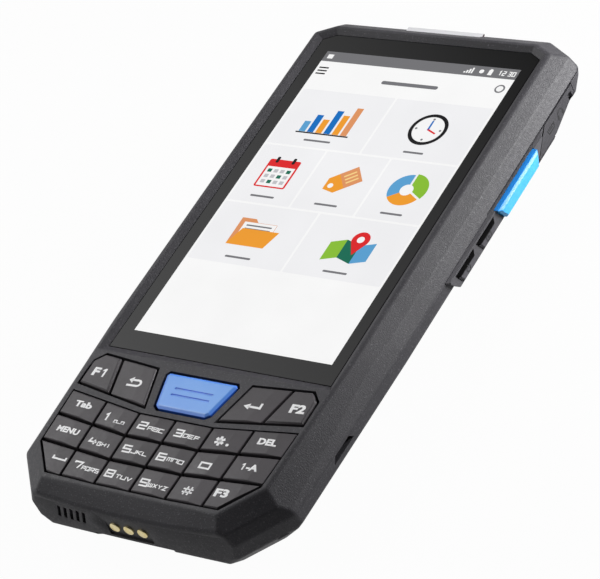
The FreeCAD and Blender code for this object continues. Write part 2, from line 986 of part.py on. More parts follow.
def bezel_block():
    """Side bezel before its openings, with both ends leaning inward below."""
    shape = extrude_y(bezel_section(), up(bezel_start), up(bezel_end))
    ends = ((up(bezel_start), -1, bezel_lean), (up(bezel_end), 1, bezel_end_lean))
    for place, side, lean in ends:
        shape = cut_beyond(shape, *lean_plane(place, side, lean))
        normal = Vector(1, side, 0)
        normal.normalize()
        distance = (bezel_reach + side * place - bezel_end_chamfer) / math.sqrt(2)
        shape = cut_beyond(shape, normal, distance)
    return shape


def side_bezel():
    shape = bezel_block()
    for start, end, low, top, reach, bevel in side_keys().values():
        shape = shape.cut(extrude_x(key_section(start, end, low, top, side_key_gap), 0, body_width))
    return shape


def switch_face():
    return side_key_root - side_key_travel - switch_gap


def side_switches():
    """Switch strip behind the right side keys: one carrier with a switch under each key."""
    face = switch_face()
    strip_x = face - switch_thickness
    parts = [box(strip_x - strip_thickness, strip_x, up(bezel_start + rib_width / 2),
                 up(bezel_end - rib_width), strip_low, strip_top)]
    for start, end, low, top, reach, bevel in side_keys().values():
        middle = up((start + end) / 2)
        parts.append(box(strip_x - strip_thickness / 2, face, middle - switch_half_width,
                         middle + switch_half_width, strip_low, strip_top))
    return fuse_all(parts)


def switch_ribs():
    """Ribs of the rear housing that carry a switch strip."""
    back = switch_face() - switch_thickness - strip_thickness
    return [box(back - rib_thickness, back, up(level), up(level) + rib_width, shell_wall / 2, strip_top)
            for level in (bezel_start + 2 * rib_width, bezel_end - 3 * rib_width)]


def port_rail():
    """Thicker stretch of the right wall that carries the port cover."""
    slope = back_inset / shoulder_height
    wall_x = half_width - shell_wall
    section = [
        (half_width - (shoulder_height - rail_foot) * slope, rail_foot),
        (half_width, rail_low),
        (half_width, seam_height),
        (wall_x, seam_height),
        (wall_x, shoulder_height - shell_wall / slope),
    ]
    shape = extrude_y(section, up(bezel_start), up(rail_end))
    normal, distance = lean_plane(up(bezel_end), 1, bezel_end_lean)
    shape = cut_beyond(shape, normal * -1, -distance)
    foot = Vector(0, rail_rise, -1)
    foot.normalize()
    return cut_beyond(shape, foot, foot.y * up(rail_turn) + foot.z * rail_low)


def cover_outline(gap, wedge=0):
    """Port cover's outline in Y and Z, grown by gap and by a wedge at the hinge's low end."""
    top = seam_height - cover_gap
    return [(up(cover_start_low) - gap - wedge, cover_low - gap), (up(cover_turn), cover_low - gap),
            (up(cover_end) + gap, cover_end_low - gap), (up(cover_end) + gap, top + gap),
            (up(cover_start_top) - gap, top + gap)]


def extrude_x(outline, x0, x1):
    """Solid with this Y and Z outline between two X places."""
    points = [Vector(x0, y, z) for y, z in outline]
    face = Part.Face(Part.makePolygon(points + points[:1]))
    return face.extrude(Vector(x1 - x0, 0, 0))


def cover_relief_plane():
    """Plane that thins the cover's hinge edge on its inner side, so that it can swing out."""
    outline = cover_outline(0)
    (low_y, low_z), (top_y, top_z) = outline[0], outline[-1]
    outward = Vector(0, low_z - top_z, top_y - low_y)
    outward.normalize()
    normal = outward * cover_thickness - Vector(cover_relief, 0, 0)
    normal.normalize()
    return normal, normal.dot(Vector(half_width, low_y, low_z))


def port_cover():
    solid = outer_form().fuse(port_rail())
    plate = extrude_x(cover_outline(0), pocket_floor(), half_width + 1).common(solid)
    plate = cut_beyond(plate, *cover_relief_plane())
    grip = box(half_width - grip_depth, half_width + 1, up(grip_level), up(grip_level + grip_width), 0,
               grip_top)
    root = pocket_floor() + cover_thickness / 2
    flat_plug = usb_box(-usb_shell - plug_gap, pocket_floor() - plug_depth, root)
    round_plug = Part.makeCylinder(jack_radius - plug_gap, plug_depth + cover_thickness / 2,
                                   Vector(pocket_floor() - plug_depth, up(jack_level), usb_level),
                                   Vector(1, 0, 0))
    return plate.cut(grip).multiFuse([flat_plug, round_plug]).removeSplitter()


def strap_slot():
    low = strap_low
    top = strap_top
    outline = [(up(strap_start), low), (up(strap_end), low), (up(strap_end - strap_slope), top),
               (up(strap_start + strap_slope), top)]
    return extrude_x(outline, half_width - strap_depth, half_width + 1)


def corner_notch():
    angle = math.radians(-low_corner_angle)
    outward = Vector(math.cos(angle), math.sin(angle), 0)
    start = Vector(notch_x, up(notch_y), low_corner_shoulder - corner_notch_radius * 0.6)
    return Part.makeCylinder(corner_notch_radius, 6, start - outward * corner_notch_depth, outward)


def sound_slots():
    tools = []
    for index in range(slot_count):
        x = slot_first_x + index * slot_pitch
        slot = box(-slot_width / 2, slot_width / 2, up(-1), up(shell_wall + 3), -slot_height, 0)
        slot.rotate(Vector(0, 0, 0), Vector(0, 1, 0), slot_lean)
        slot.translate(Vector(x, 0, slot_level))
        tools.append(slot)
    return tools


def contact_recess():
    return box(-contact_half_width, contact_half_width, up(-1), up(contact_depth), contact_low,
               contact_top)


def contact_pocket():
    half = contact_half_width - contact_block_margin
    return box(-half, half, up(contact_depth), up(contact_depth + contact_block_depth),
               contact_low + contact_block_margin, contact_top - contact_block_margin)


def contact_block():
    block = contact_pocket()
    for x in (-pin_pitch, 0, pin_pitch):
        block = block.cut(pin_shape(x))
    return block


def pin_shape(x):
    return Part.makeCylinder(pin_radius, contact_block_depth - pin_back + pin_rise,
                             Vector(x, up(contact_depth - pin_rise), pin_level), Vector(0, 1, 0))


def charging_pins():
    return Part.makeCompound([pin_shape(x) for x in (-pin_pitch, 0, pin_pitch)])


def microphone():
    middle = slot_first_x + slot_pitch * (slot_count - 1) / 2
    return box(middle - mic_width / 2, middle + mic_width / 2, up(mic_start), up(mic_start + mic_depth),
               mic_low, mic_low + mic_height)


def door_box(grow, low, top):
    half = door_width / 2 + grow
    return box(-half, half, up(door_start) - grow, up(door_start + door_length) + grow, low, top)


def bay_box(grow, low, top):
    half = battery_width / 2 + battery_clearance + grow
    return box(-half, half, up(battery_start) - battery_clearance - grow,
               up(battery_start + battery_length + terminal_thickness) + battery_clearance + grow,
               low, top)


def battery():
    half = battery_width / 2
    return box(-half, half, up(battery_start), up(battery_start + battery_length), battery_low,
               battery_low + battery_height)


def battery_terminals():
    end = battery_start + battery_length + terminal_thickness + battery_clearance
    return box(-terminal_half_width, terminal_half_width, up(end - terminal_thickness), up(end),
               battery_low + terminal_rise, battery_low + terminal_rise + terminal_height)


def lock_points():
    return [(0, up(level)) for level in lock_levels]


def battery_door():
    shape = door_box(0, door_recess, door_top)
    for x, y in lock_points():
        head = Part.makeCylinder(lock_radius + door_gap, lock_head_height + lock_head_sink + lock_fit,
                                 Vector(x, y, door_recess))
        shank = Part.makeCylinder(lock_shank_radius + lock_fit, big, Vector(x, y, 0))
        shape = shape.cut(head).cut(shank)
    return shape


def door_lock(place):
    x, y = place
    head_low = door_recess + lock_head_sink
    head = Part.makeCylinder(lock_radius, lock_head_height, Vector(x, y, head_low))
    shank = Part.makeCylinder(lock_shank_radius, lock_shank_length + overlap,
                              Vector(x, y, head_low + lock_head_height - overlap))
    slot_half = lock_radius * lock_slot_share
    slot = box(x - slot_half, x + slot_half, y - lock_slot_width / 2,
               y + lock_slot_width / 2, 0, head_low + lock_head_height / 2)
    return head.fuse(shank).cut(slot)


def rear_housing():
    outer = outer_form().cut(end_relief(0)).fuse(port_rail())
    inner = hull(shell_wall).cut(end_relief(shell_wall))
    shape = outer.cut(inner).cut(above_parting())
    band = hull(shell_wall / 2).cut(end_relief(shell_wall / 2)).cut(above_parting())
    added = [
        door_box(bay_wall, 0, door_top + bay_wall),
        bay_box(bay_wall, door_top, bay_top + bay_wall),
    ]
    for x, y in lock_points():
        added.append(Part.makeCylinder(lock_shank_radius + lock_wall, lock_shank_length + shell_wall,
                                       Vector(x, y, door_top)))
    for x, y in screw_points():
        added.append(Part.makeCylinder(post_radius, seam_height - shell_wall / 2,
                                       Vector(x, y, shell_wall / 2)))
    for rib in switch_ribs():
        added.append(rib)
        added.append(mirror_x(rib))
    port_block = box(pocket_floor() - port_wall, half_width, up(cover_start_low - port_margin),
                     up(cover_end + port_margin), cover_low - port_wall, seam_height)
    strap_block = box(half_width - strap_depth - strap_wall, half_width, up(strap_start - strap_wall),
                      up(strap_end + strap_wall), strap_low - strap_wall, seam_height)
    rib_start = engine_end() - engine_depth / 2
    engine_rib = box(-engine_half_width, engine_half_width, up(rib_start),
                     up(rib_start + engine_rib_width), shell_wall / 2, engine_rest)
    contact_box = box(-contact_half_width - contact_wall, contact_half_width + contact_wall,
                      up(contact_depth / 2), up(contact_depth + contact_block_depth),
                      contact_low - contact_wall, end_seam_height)
    added += [port_block, strap_block, engine_rib, contact_box]
    limited = [piece.common(band) for piece in added]
    shape = shape.multiFuse(limited)

    cuts = [
        door_box(door_gap, -1, door_top),
        bay_box(0, 0, bay_top),
        side_bezel_pocket(),
        mirror_x(side_bezel_pocket()),
        extrude_x(cover_outline(cover_gap, cover_wedge), pocket_floor(), half_width + 2),
        usb_box(port_gap, port_face() - port_wall * 2, half_width),
        jack_box(port_gap, port_face() - port_wall * 2, half_width),
        strap_slot(),
        corner_notch(),
        contact_recess(),
        contact_pocket(),
        window_notch(),
        scanner_window(),
        scanner_passage(),
    ]
    cuts += sound_slots()
    cuts += back_cuts()
    for x, y in screw_points():
        cuts.append(Part.makeCylinder(screw_radius + screw_passage_gap, rim_height,
                                      Vector(x, y, 0)))
        cuts.append(Part.makeCylinder(screw_head_radius + head_clearance, screw_seat, Vector(x, y, 0)))
    for x, y in lock_points():
        depth = lock_shank_length + lock_head_height + shell_wall / 2
        cuts.append(Part.makeCylinder(lock_shank_radius + door_gap, depth, Vector(x, y, door_recess)))
    for tool in cuts:
        shape = shape.cut(tool)
    return shape.removeSplitter()


def side_bezel_pocket():
    """Room in the side wall for the bezel and for the keys' flanges behind it."""
    shape = bezel_block()
    for start, end, low, top, reach, bevel in side_keys().values():
        section = key_section(start, end, low, top, flange_margin + side_key_gap)
        room = extrude_x(section, switch_face(), half_width - shell_wall / 2)
        shape = shape.fuse(room.common(box(0, body_width, up(0), up(body_length), 0, seam_height)))
    return shape


def scanner_passage():
    half = window_half_width - window_margin
    return box(-half, half, up(body_length - 4 * window_recess), up(body_length - window_recess),
               window_low + window_margin, ledge_low)


def back_cuts():
    tools = [
        Part.makeCylinder(camera_radius, window_sink + window_glass, Vector(camera_x, up(camera_level), 0)),
        Part.makeCylinder(camera_view_radius, 2 * shell_wall, Vector(camera_x, up(camera_level), 0)),
        Part.makeCylinder(flash_radius, 2 * shell_wall, Vector(flash_x, up(camera_level), 0)),
    ]
    first = -(speaker_slots - 1) / 2
    for index in range(speaker_slots):
        y = up(speaker_level) + (first + index) * speaker_slot_pitch
        tools.append(box(speaker_x - speaker_slot_length / 2, speaker_x + speaker_slot_length / 2,
                         y - speaker_slot_width / 2, y + speaker_slot_width / 2, -1,
                         2 * shell_wall))
    return tools


def camera_window():
    return Part.makeCylinder(camera_radius, window_glass, Vector(camera_x, up(camera_level), window_sink))


def camera_module():
    low = shell_wall
    half = camera_module_half
    return box(camera_x - half, camera_x + half, up(camera_level) - half, up(camera_level) + half,
               low, low + camera_module_height)


def flash_window():
    return Part.makeCylinder(flash_radius, shell_wall - window_sink,
                             Vector(flash_x, up(camera_level), window_sink))


def loudspeaker():
    return box(speaker_x - speaker_width / 2, speaker_x + speaker_width / 2,
               up(speaker_level) - speaker_length / 2, up(speaker_level) + speaker_length / 2,
               shell_wall, shell_wall + speaker_height)


def housing_screws():
    screws = []
    for x, y in screw_points():
        head = Part.makeCylinder(screw_head_radius, screw_head_height,
                                 Vector(x, y, screw_seat - screw_head_height))
        shank = Part.makeCylinder(screw_radius, screw_length, Vector(x, y, screw_seat - overlap))
        socket = Part.makeCylinder(screw_radius * socket_share, screw_head_height * socket_share,
                                   Vector(x, y, screw_seat - screw_head_height))
        screws.append(head.fuse(shank).cut(socket))
    return Part.makeCompound(screws)


def side_key_nodes():
    """Both sides' keys, bezels and switch strips by node name."""
    names = {
        "scan": ("scan_key_right", "scan_key_left"),
        "upper": ("camera_key", "volume_up_key"),
        "lower": ("power_key", "volume_down_key"),
    }
    nodes = {}
    for short, sizes in side_keys().items():
        shape = side_key(*sizes)
        right, left = names[short]
        nodes[right] = shape
        nodes[left] = mirror_x(shape)
    bezel = side_bezel()
    nodes["side_bezel_right"] = bezel
    nodes["side_bezel_left"] = mirror_x(bezel)
    strip = side_switches()
    nodes["side_switches"] = Part.makeCompound([strip, mirror_x(strip)])
    return nodes


def all_nodes():
    keys = key_shapes()
    nodes = {
        "front_housing": front_housing(),
        "rear_housing": rear_housing(),
        "display_glass": display_glass(),
        "display_seal": display_seal(),
        "screen_module": screen_module(),
        "frame_plate": frame_plate(),
        "keypad_mat": keypad_mat(keys),
        "keypad_board": keypad_board(),
        "main_board": main_board(),
        "shield_cans": shield_cans(),
        "usb_connector": usb_connector(),
        "headphone_jack": headphone_jack(),
        "port_cover": port_cover(),
        "scanner_window": scanner_window(),
        "scan_engine": scan_engine(),
        "contact_block": contact_block(),
        "charging_pins": charging_pins(),
        "microphone": microphone(),
        "battery": battery(),
        "battery_terminals": battery_terminals(),
        "battery_door": battery_door(),
        "door_lock_low": door_lock(lock_points()[0]),
        "door_lock_high": door_lock(lock_points()[1]),
        "camera_window": camera_window(),
        "camera_module": camera_module(),
        "flash_window": flash_window(),
        "loudspeaker": loudspeaker(),
        "housing_screws": housing_screws(),
    }
    nodes.update(side_key_nodes())
    nodes.update(keys)
    return nodes


os.makedirs("parts", exist_ok=True)
for name, shape in all_nodes().items():
    shape.exportStep("parts/" + name + ".step")
    print(name, "valid", shape.isValid(), "solids", len(shape.Solids), "volume", round(shape.Volume, 1))
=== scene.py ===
import math

import bmesh
import bpy
from mathutils import Matrix, Vector
from mathutils.bvhtree import BVHTree


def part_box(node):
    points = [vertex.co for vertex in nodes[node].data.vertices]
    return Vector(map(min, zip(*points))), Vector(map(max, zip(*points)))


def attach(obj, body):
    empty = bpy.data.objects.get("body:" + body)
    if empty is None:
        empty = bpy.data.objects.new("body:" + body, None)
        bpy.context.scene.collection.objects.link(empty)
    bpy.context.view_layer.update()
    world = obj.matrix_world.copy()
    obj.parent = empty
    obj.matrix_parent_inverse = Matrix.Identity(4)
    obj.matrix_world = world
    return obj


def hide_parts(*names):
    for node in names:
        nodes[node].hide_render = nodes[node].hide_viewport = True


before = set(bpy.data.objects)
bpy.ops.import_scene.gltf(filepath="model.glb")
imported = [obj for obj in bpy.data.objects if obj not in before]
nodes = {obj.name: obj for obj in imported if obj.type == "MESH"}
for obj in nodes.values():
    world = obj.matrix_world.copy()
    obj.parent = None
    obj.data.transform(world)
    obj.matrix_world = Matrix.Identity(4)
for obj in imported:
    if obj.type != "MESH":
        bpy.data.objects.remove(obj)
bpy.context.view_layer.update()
mm = 0.001
homeBody = "housing"
bottomEnd = -71.9  # Y of the bottom end, where the record's distances start
noiseSpread = (0.3, 0.7)  # what most of a noise pattern falls between


def tone(red, green, blue):
    # display values to the linear ones that shaders take
    return tuple((v / 255 / 12.92) if v < 11 else ((v / 255 + 0.055) / 1.055) ** 2.4
                 for v in (red, green, blue))


# Shader building

def startMaterial(name):
    material = bpy.data.materials.new(name)
    material.use_nodes = True
    tree = material.node_tree
    tree.nodes.clear()
    shader = tree.nodes.new("ShaderNodeBsdfPrincipled")
    out = tree.nodes.new("ShaderNodeOutputMaterial")
    tree.links.new(shader.outputs["BSDF"], out.inputs["Surface"])
    coords = tree.nodes.new("ShaderNodeTexCoord").outputs["Object"]
    return material, tree, shader, coords


def noiseOn(tree, coords, scale, detail=2.0):
    noise = tree.nodes.new("ShaderNodeTexNoise")
    noise.inputs["Scale"].default_value = scale
    noise.inputs["Detail"].default_value = detail
    tree.links.new(coords, noise.inputs["Vector"])
    return noise.outputs["Fac"]


def stretched(tree, coords, scale):
    # coordinates squeezed along an axis, for brushed and layered finishes
    mapping = tree.nodes.new("ShaderNodeMapping")
    mapping.inputs["Scale"].default_value = scale
    tree.links.new(coords, mapping.inputs["Vector"])
    return mapping.outputs["Vector"]


def feed(tree, socket, value):
    # numbers and colours are set on the socket, anything else is linked to it
    if isinstance(value, (int, float)):
        socket.default_value = value
    elif isinstance(value, tuple):
        socket.default_value = (*value, 1.0)
    else:
        tree.links.new(value, socket)


def remap(tree, value, fromLow, fromHigh, toLow=0.0, toHigh=1.0):
    node = tree.nodes.new("ShaderNodeMapRange")
    for label, number in (("Value", value), ("From Min", fromLow), ("From Max", fromHigh),
                          ("To Min", toLow), ("To Max", toHigh)):
        feed(tree, node.inputs[label], number)
    return node.outputs["Result"]


def calc(tree, operation, first, second):
    node = tree.nodes.new("ShaderNodeMath")
    node.operation = operation
    feed(tree, node.inputs[0], first)
    feed(tree, node.inputs[1], second)
    return node.outputs[0]


def mixColours(tree, factor, first, second):
    mix = tree.nodes.new("ShaderNodeMix")
    mix.data_type = "RGBA"
    for index, value in ((0, factor), (6, first), (7, second)):
        feed(tree, mix.inputs[index], value)
    return mix.outputs[2]


def setShader(tree, shader, values):
    for label, value in values.items():
        feed(tree, shader.inputs[label], value)


def addBump(tree, shader, height, depth):
    bump = tree.nodes.new("ShaderNodeBump")
    bump.inputs["Strength"].default_value = 1.0
    bump.inputs["Distance"].default_value = depth
    tree.links.new(height, bump.inputs["Height"])
    tree.links.new(bump.outputs["Normal"], shader.inputs["Normal"])


def facing(tree, axis):
    # how far the surface faces along an axis of the object
    split = tree.nodes.new("ShaderNodeSeparateXYZ")
    source = tree.nodes.new("ShaderNodeTexCoord")
    tree.links.new(source.outputs["Normal"], split.inputs["Vector"])
    return split.outputs[axis]


mouldLook = {"cloudRange": (0.35, 0.65), "fleckScale": 0.8, "fleckRange": (0.6, 0.78),
             "glossScale": 0.35, "glossSpread": (-0.05, 0.06), "coatRoughness": 0.2}


def cloudyTone(tree, coords, look):
    clouds = remap(tree, noiseOn(tree, coords, look["cloudScale"], 4.0), *mouldLook["cloudRange"])
    return mixColours(tree, clouds, look["dark"], look["light"])


def mouldedFinish(name, look):
    # moulded plastic and rubber: cloudy tone, fine grain, bright flecks, uneven gloss, and painted
    # shade on faces turned a chosen way
    material, tree, shader, coords = startMaterial(name)
    colour = cloudyTone(tree, coords, look)
    fine = look["grainScale"]
    if look.get("fleckShare"):
        flecks = remap(tree, noiseOn(tree, coords, fine * mouldLook["fleckScale"], 1.0),
                       *mouldLook["fleckRange"], 0.0, look["fleckShare"])
        colour = mixColours(tree, flecks, colour, look["fleck"])
    # painted shade: faces turned a chosen way get the darker flank colour
    if look.get("shadedFlank"):
        flankShadeMask = remap(tree, facing(tree, "Z"), *look["shadedFlankRange"])
        colour = mixColours(tree, flankShadeMask, colour, look["shadedFlank"])
    gloss = remap(tree, noiseOn(tree, coords, fine * mouldLook["glossScale"], 2.0), *noiseSpread,
                  *(look["roughness"] + step for step in mouldLook["glossSpread"]))
    setShader(tree, shader, {
        "Base Color": colour, "Roughness": gloss, "Specular IOR Level": look.get("specular", 0.5),
        "Coat Weight": look.get("coat", 0.0), "Coat Roughness": mouldLook["coatRoughness"]})
    addBump(tree, shader, noiseOn(tree, coords, fine, 3.0), look["grainDepth"])
    return material


def sideKeyFinish(name, look):
    # grey key face under a black band of painted shade along its upper side, where the gap above
    # the key lies in shadow; the band is also fully rough
    material, tree, shader, coords = startMaterial(name)
    axes = tree.nodes.new("ShaderNodeSeparateXYZ")
    tree.links.new(coords, axes.inputs["Vector"])
    band = remap(tree, axes.outputs["Z"], look["bandLevel"], look["bandLevel"] + look["bandBlur"])
    grain = noiseOn(tree, coords, look["grainScale"], 3.0)
    gloss = calc(tree, "ADD", remap(tree, band, 0.0, 1.0, look["roughness"], 1.0),
                 remap(tree, grain, *noiseSpread, *look["glossSpread"]))
    setShader(tree, shader, {
        "Base Color": mixColours(tree, band, cloudyTone(tree, coords, look), look["band"]),
        "Roughness": gloss, "Specular IOR Level": look["specular"]})
    addBump(tree, shader, grain, look["grainDepth"])
    return material


def metalFinish(name, look):
    # metal with fine streaks in its tone and polish
    material, tree, shader, coords = startMaterial(name)
    streaks = noiseOn(tree, stretched(tree, coords, look["stretch"]), look["scale"], 3.0)
    setShader(tree, shader, {
        "Base Color": mixColours(tree, remap(tree, streaks, *noiseSpread), look["dark"],
                                 look["light"]),
        "Roughness": remap(tree, streaks, *noiseSpread, *look["roughness"]), "Metallic": 1.0})
    addBump(tree, shader, streaks, look["depth"])
    return material


def glassFinish(name, look):
    # dark glass over a faintly uneven print; faces that turn upwards can get a painted pale
    # highlight
    material, tree, shader, coords = startMaterial(name)
    smears = noiseOn(tree, coords, look["smearScale"], 5.0)
    tint = mixColours(tree, remap(tree, smears, *noiseSpread), look["dark"], look["light"])
    if look.get("edge"):
        upFacing = remap(tree, facing(tree, "Z"), *look["edgeRange"])
        tint = mixColours(tree, upFacing, tint, look["edge"])
    setShader(tree, shader, {
        "Base Color": tint, "Specular IOR Level": look["specular"],
        "Roughness": remap(tree, smears, *noiseSpread, *look["roughness"])})
    return material


litLook = {"glow": 0.84, "unevenScale": 60.0, "dimmest": 0.96, "unlit": 0.12, "specular": 0.1,
           "smearScale": 90.0, "roughness": (0.08, 0.16)}


def litInk(name, colour):
    # a lit patch of the screen picture, with the faint unevenness of its backlight
    material, tree, shader, coords = startMaterial(name)
    uneven = remap(tree, noiseOn(tree, coords, litLook["unevenScale"]), *noiseSpread)
    smears = noiseOn(tree, coords, litLook["smearScale"], 3.0)
    setShader(tree, shader, {
        "Emission Color": mixColours(tree, uneven, tuple(litLook["dimmest"] * c for c in colour),
                                     colour),
        "Emission Strength": litLook["glow"], "Specular IOR Level": litLook["specular"],
        "Base Color": tuple(litLook["unlit"] * c for c in colour),
        "Roughness": remap(tree, smears, *noiseSpread, *litLook["roughness"])})
    return material


printLook = {"wearRange": (0.3, 0.75), "roughness": (0.35, 0.5), "grainScale": 3000.0,
             "grainDepth": 0.000008}


def printInk(name, look):
    # printed ink, a little worn
    material, tree, shader, coords = startMaterial(name)
    wear = remap(tree, noiseOn(tree, coords, look["wearScale"], 4.0), *printLook["wearRange"])
    setShader(tree, shader, {
        "Base Color": mixColours(tree, wear, look["light"], look["dark"]),
        "Roughness": remap(tree, wear, 0.0, 1.0, *printLook["roughness"])})
    addBump(tree, shader, noiseOn(tree, coords, printLook["grainScale"]), printLook["grainDepth"])
    return material


def boardFinish(name, look):
    # lacquered circuit board with copper tracks showing through
    material, tree, shader, coords = startMaterial(name)
    tracks = tree.nodes.new("ShaderNodeTexBrick")
    for label, value in (("Vector", coords), ("Scale", look["trackScale"]),
                         ("Mortar Size", look["trackWidth"]), ("Color1", look["lacquer"]),
                         ("Color2", look["deep"]), ("Mortar", look["track"])):
        feed(tree, tracks.inputs[label], value)
    setShader(tree, shader, {
        "Base Color": tracks.outputs["Color"],
        "Roughness": remap(tree, tracks.outputs["Fac"], 0.0, 1.0, *look["roughness"])})
    addBump(tree, shader, tracks.outputs["Fac"], look["depth"])
    return material


finishLooks = {
    "housing": {"dark": tone(57, 56, 60), "light": tone(66, 65, 69), "cloudScale": 55.0,
                "grainScale": 3600.0, "grainDepth": 0.00006, "roughness": 0.5, "specular": 0.3,
                "fleck": tone(140, 138, 143), "fleckShare": 0.3},
    "side_trim": {"dark": tone(34, 33, 36), "light": tone(42, 41, 44), "cloudScale": 80.0,
                  "grainScale": 4200.0, "grainDepth": 0.00003, "roughness": 0.42},
    "key_cap": {"dark": tone(69, 66, 69), "light": tone(77, 73, 77), "cloudScale": 90.0,
                "grainScale": 4500.0, "grainDepth": 0.00002, "roughness": 0.45, "specular": 0.35},
    # the scan keys' flank colours are painted shade by facing: the centre key darker on its sides,
    # the side keys darker on their upper bevel
    "scan_blue": {"dark": tone(104, 164, 248), "light": tone(118, 176, 252), "cloudScale": 60.0,
                  "grainScale": 4500.0, "grainDepth": 0.000004, "roughness": 0.34, "coat": 0.2,
                  "shadedFlank": tone(58, 118, 244), "shadedFlankRange": (0.96, 0.8)},
    "side_blue": {"dark": tone(56, 174, 249), "light": tone(74, 188, 252), "cloudScale": 60.0,
                  "grainScale": 4500.0, "grainDepth": 0.000004, "roughness": 0.34, "coat": 0.2,
                  "shadedFlank": tone(34, 154, 252), "shadedFlankRange": (0.3, 0.55)},
    # the housing plastic painted lighter, to lift the shade that falls on the side bezels
    "side_bezel": {"dark": tone(76, 75, 79), "light": tone(86, 85, 89), "cloudScale": 55.0,
                   "grainScale": 3600.0, "grainDepth": 0.00005, "roughness": 0.5,
                   "specular": 0.3},
    "cover_rubber": {"dark": tone(56, 55, 59), "light": tone(65, 64, 68), "cloudScale": 70.0,
                     "grainScale": 3400.0, "grainDepth": 0.00005, "roughness": 0.56,
                     "specular": 0.35},
    "seal_rubber": {"dark": tone(14, 14, 15), "light": tone(24, 24, 25), "cloudScale": 90.0,
                    "grainScale": 3000.0, "grainDepth": 0.00003, "roughness": 0.7},
    "silicone": {"dark": tone(14, 14, 15), "light": tone(22, 22, 24), "cloudScale": 60.0,
                 "grainScale": 2600.0, "grainDepth": 0.00003, "roughness": 0.7, "specular": 0.2},
    "module_black": {"dark": tone(18, 18, 19), "light": tone(30, 30, 32), "cloudScale": 120.0,
                     "grainScale": 4000.0, "grainDepth": 0.00003, "roughness": 0.5},
    "battery_wrap": {"dark": tone(52, 54, 60), "light": tone(66, 68, 74), "cloudScale": 40.0,
                     "grainScale": 1500.0, "grainDepth": 0.00005, "roughness": 0.38},
    "screen": {"dark": tone(22, 22, 26), "light": tone(34, 34, 40), "cloudScale": 50.0,
               "grainScale": 3000.0, "grainDepth": 0.00001, "roughness": 0.25},
}
finishes = {name: mouldedFinish(name + "Finish", look) for name, look in finishLooks.items()}
# the side keys' black band is painted shade of the gap above each key
finishes["side_key"] = sideKeyFinish("sideKeyFinish", {
    "dark": tone(84, 83, 88), "light": tone(94, 93, 98), "band": tone(5, 5, 6),
    "bandLevel": 0.0104, "bandBlur": 0.0002, "cloudScale": 80.0, "grainScale": 4200.0,
    "grainDepth": 0.00003, "roughness": 0.5, "glossSpread": (-0.04, 0.05), "specular": 0.12})
finishes["frame_metal"] = metalFinish("frameMetalFinish", {
    "dark": tone(165, 166, 170), "light": tone(192, 193, 197), "stretch": (1, 12, 1),
    "scale": 160.0, "roughness": (0.28, 0.455), "depth": 0.00001})
finishes["can_steel"] = metalFinish("canSteelFinish", {
    "dark": tone(150, 151, 154), "light": tone(188, 189, 192), "stretch": (14, 1, 1),
    "scale": 220.0, "roughness": (0.224, 0.364), "depth": 0.00001})
finishes["contact_gold"] = metalFinish("contactGoldFinish", {
    "dark": tone(236, 216, 150), "light": tone(253, 240, 196), "stretch": (1, 1, 1),
    "scale": 900.0, "roughness": (0.24, 0.39), "depth": 0.000006})
finishes["display_glass"] = glassFinish("displayGlassFinish", {
    "dark": tone(5, 5, 6), "light": tone(9, 9, 10), "smearScale": 30.0,
    "roughness": (0.06, 0.132), "specular": 0.5})
finishes["clear_window"] = glassFinish("clearWindowFinish", {
    "dark": tone(34, 20, 26), "light": tone(52, 30, 36), "smearScale": 60.0,
    "roughness": (0.05, 0.11), "specular": 0.7})
# the pale colour on the scanner window's upward faces is a painted highlight
finishes["scan_window"] = glassFinish("scanWindowFinish", {
    "dark": tone(40, 18, 24), "light": tone(58, 26, 34), "smearScale": 60.0,
    "roughness": (0.08, 0.176), "specular": 0.5, "edge": tone(226, 226, 229),
    "edgeRange": (0.4, 0.7)})
finishes["circuit_board"] = boardFinish("circuitBoardFinish", {
    "lacquer": tone(18, 84, 58), "deep": tone(14, 72, 50), "track": tone(60, 128, 84),
    "trackScale": 420.0, "trackWidth": 0.03, "roughness": (0.3, 0.45), "depth": 0.00002})

nodeFinishes = {
    "side_trim": ("door_lock_low", "door_lock_high"),
    "side_key": ("power_key", "camera_key", "volume_up_key", "volume_down_key"),
    "side_blue": ("scan_key_right", "scan_key_left"),
    "scan_blue": ("key_scan_centre",),
    "cover_rubber": ("port_cover",),
    "display_glass": ("display_glass",),
    "seal_rubber": ("display_seal",),
    "screen": ("screen_module",),
    "silicone": ("keypad_mat",),
    "circuit_board": ("keypad_board", "main_board"),
    "frame_metal": ("frame_plate",),
    "can_steel": ("shield_cans", "usb_connector", "housing_screws"),
    "clear_window": ("camera_window", "flash_window"),
    "scan_window": ("scanner_window",),
    "module_black": ("headphone_jack", "scan_engine", "contact_block", "microphone",
                     "camera_module", "loudspeaker", "side_switches"),
    "contact_gold": ("charging_pins", "battery_terminals"),
    "battery_wrap": ("battery",),
    "side_bezel": ("side_bezel_right", "side_bezel_left"),
    "housing": ("front_housing", "rear_housing", "battery_door"),
}
finishOfNode = {node: finish for finish, members in nodeFinishes.items() for node in members}
for nodeName, node in nodes.items():
    finish = finishes[finishOfNode.get(nodeName, "key_cap")]
    for slot in node.material_slots:
        slot.material = finish
print("finishes on", len(nodes), "nodes")


# Edges of the mouldings, rounded just enough to catch the light

edgeLook = {"angle": 24, "segments": 2, "weld": 0.000002,
            "keys": 0.00013, "scan": 0.00016, "shell": 0.00014,
            "shells": ("front_housing", "rear_housing", "side_bezel_right", "side_bezel_left",
                       "port_cover", "battery_door"),
            "scans": ("scan_key_right", "scan_key_left")}


def softenEdges(piece, width):
    weld = piece.modifiers.new("weld", "WELD")
    weld.merge_threshold = edgeLook["weld"]
    bevel = piece.modifiers.new("softEdges", "BEVEL")
    bevel.width = width
    bevel.segments = edgeLook["segments"]
    bevel.limit_method = "ANGLE"
    bevel.angle_limit = math.radians(edgeLook["angle"])


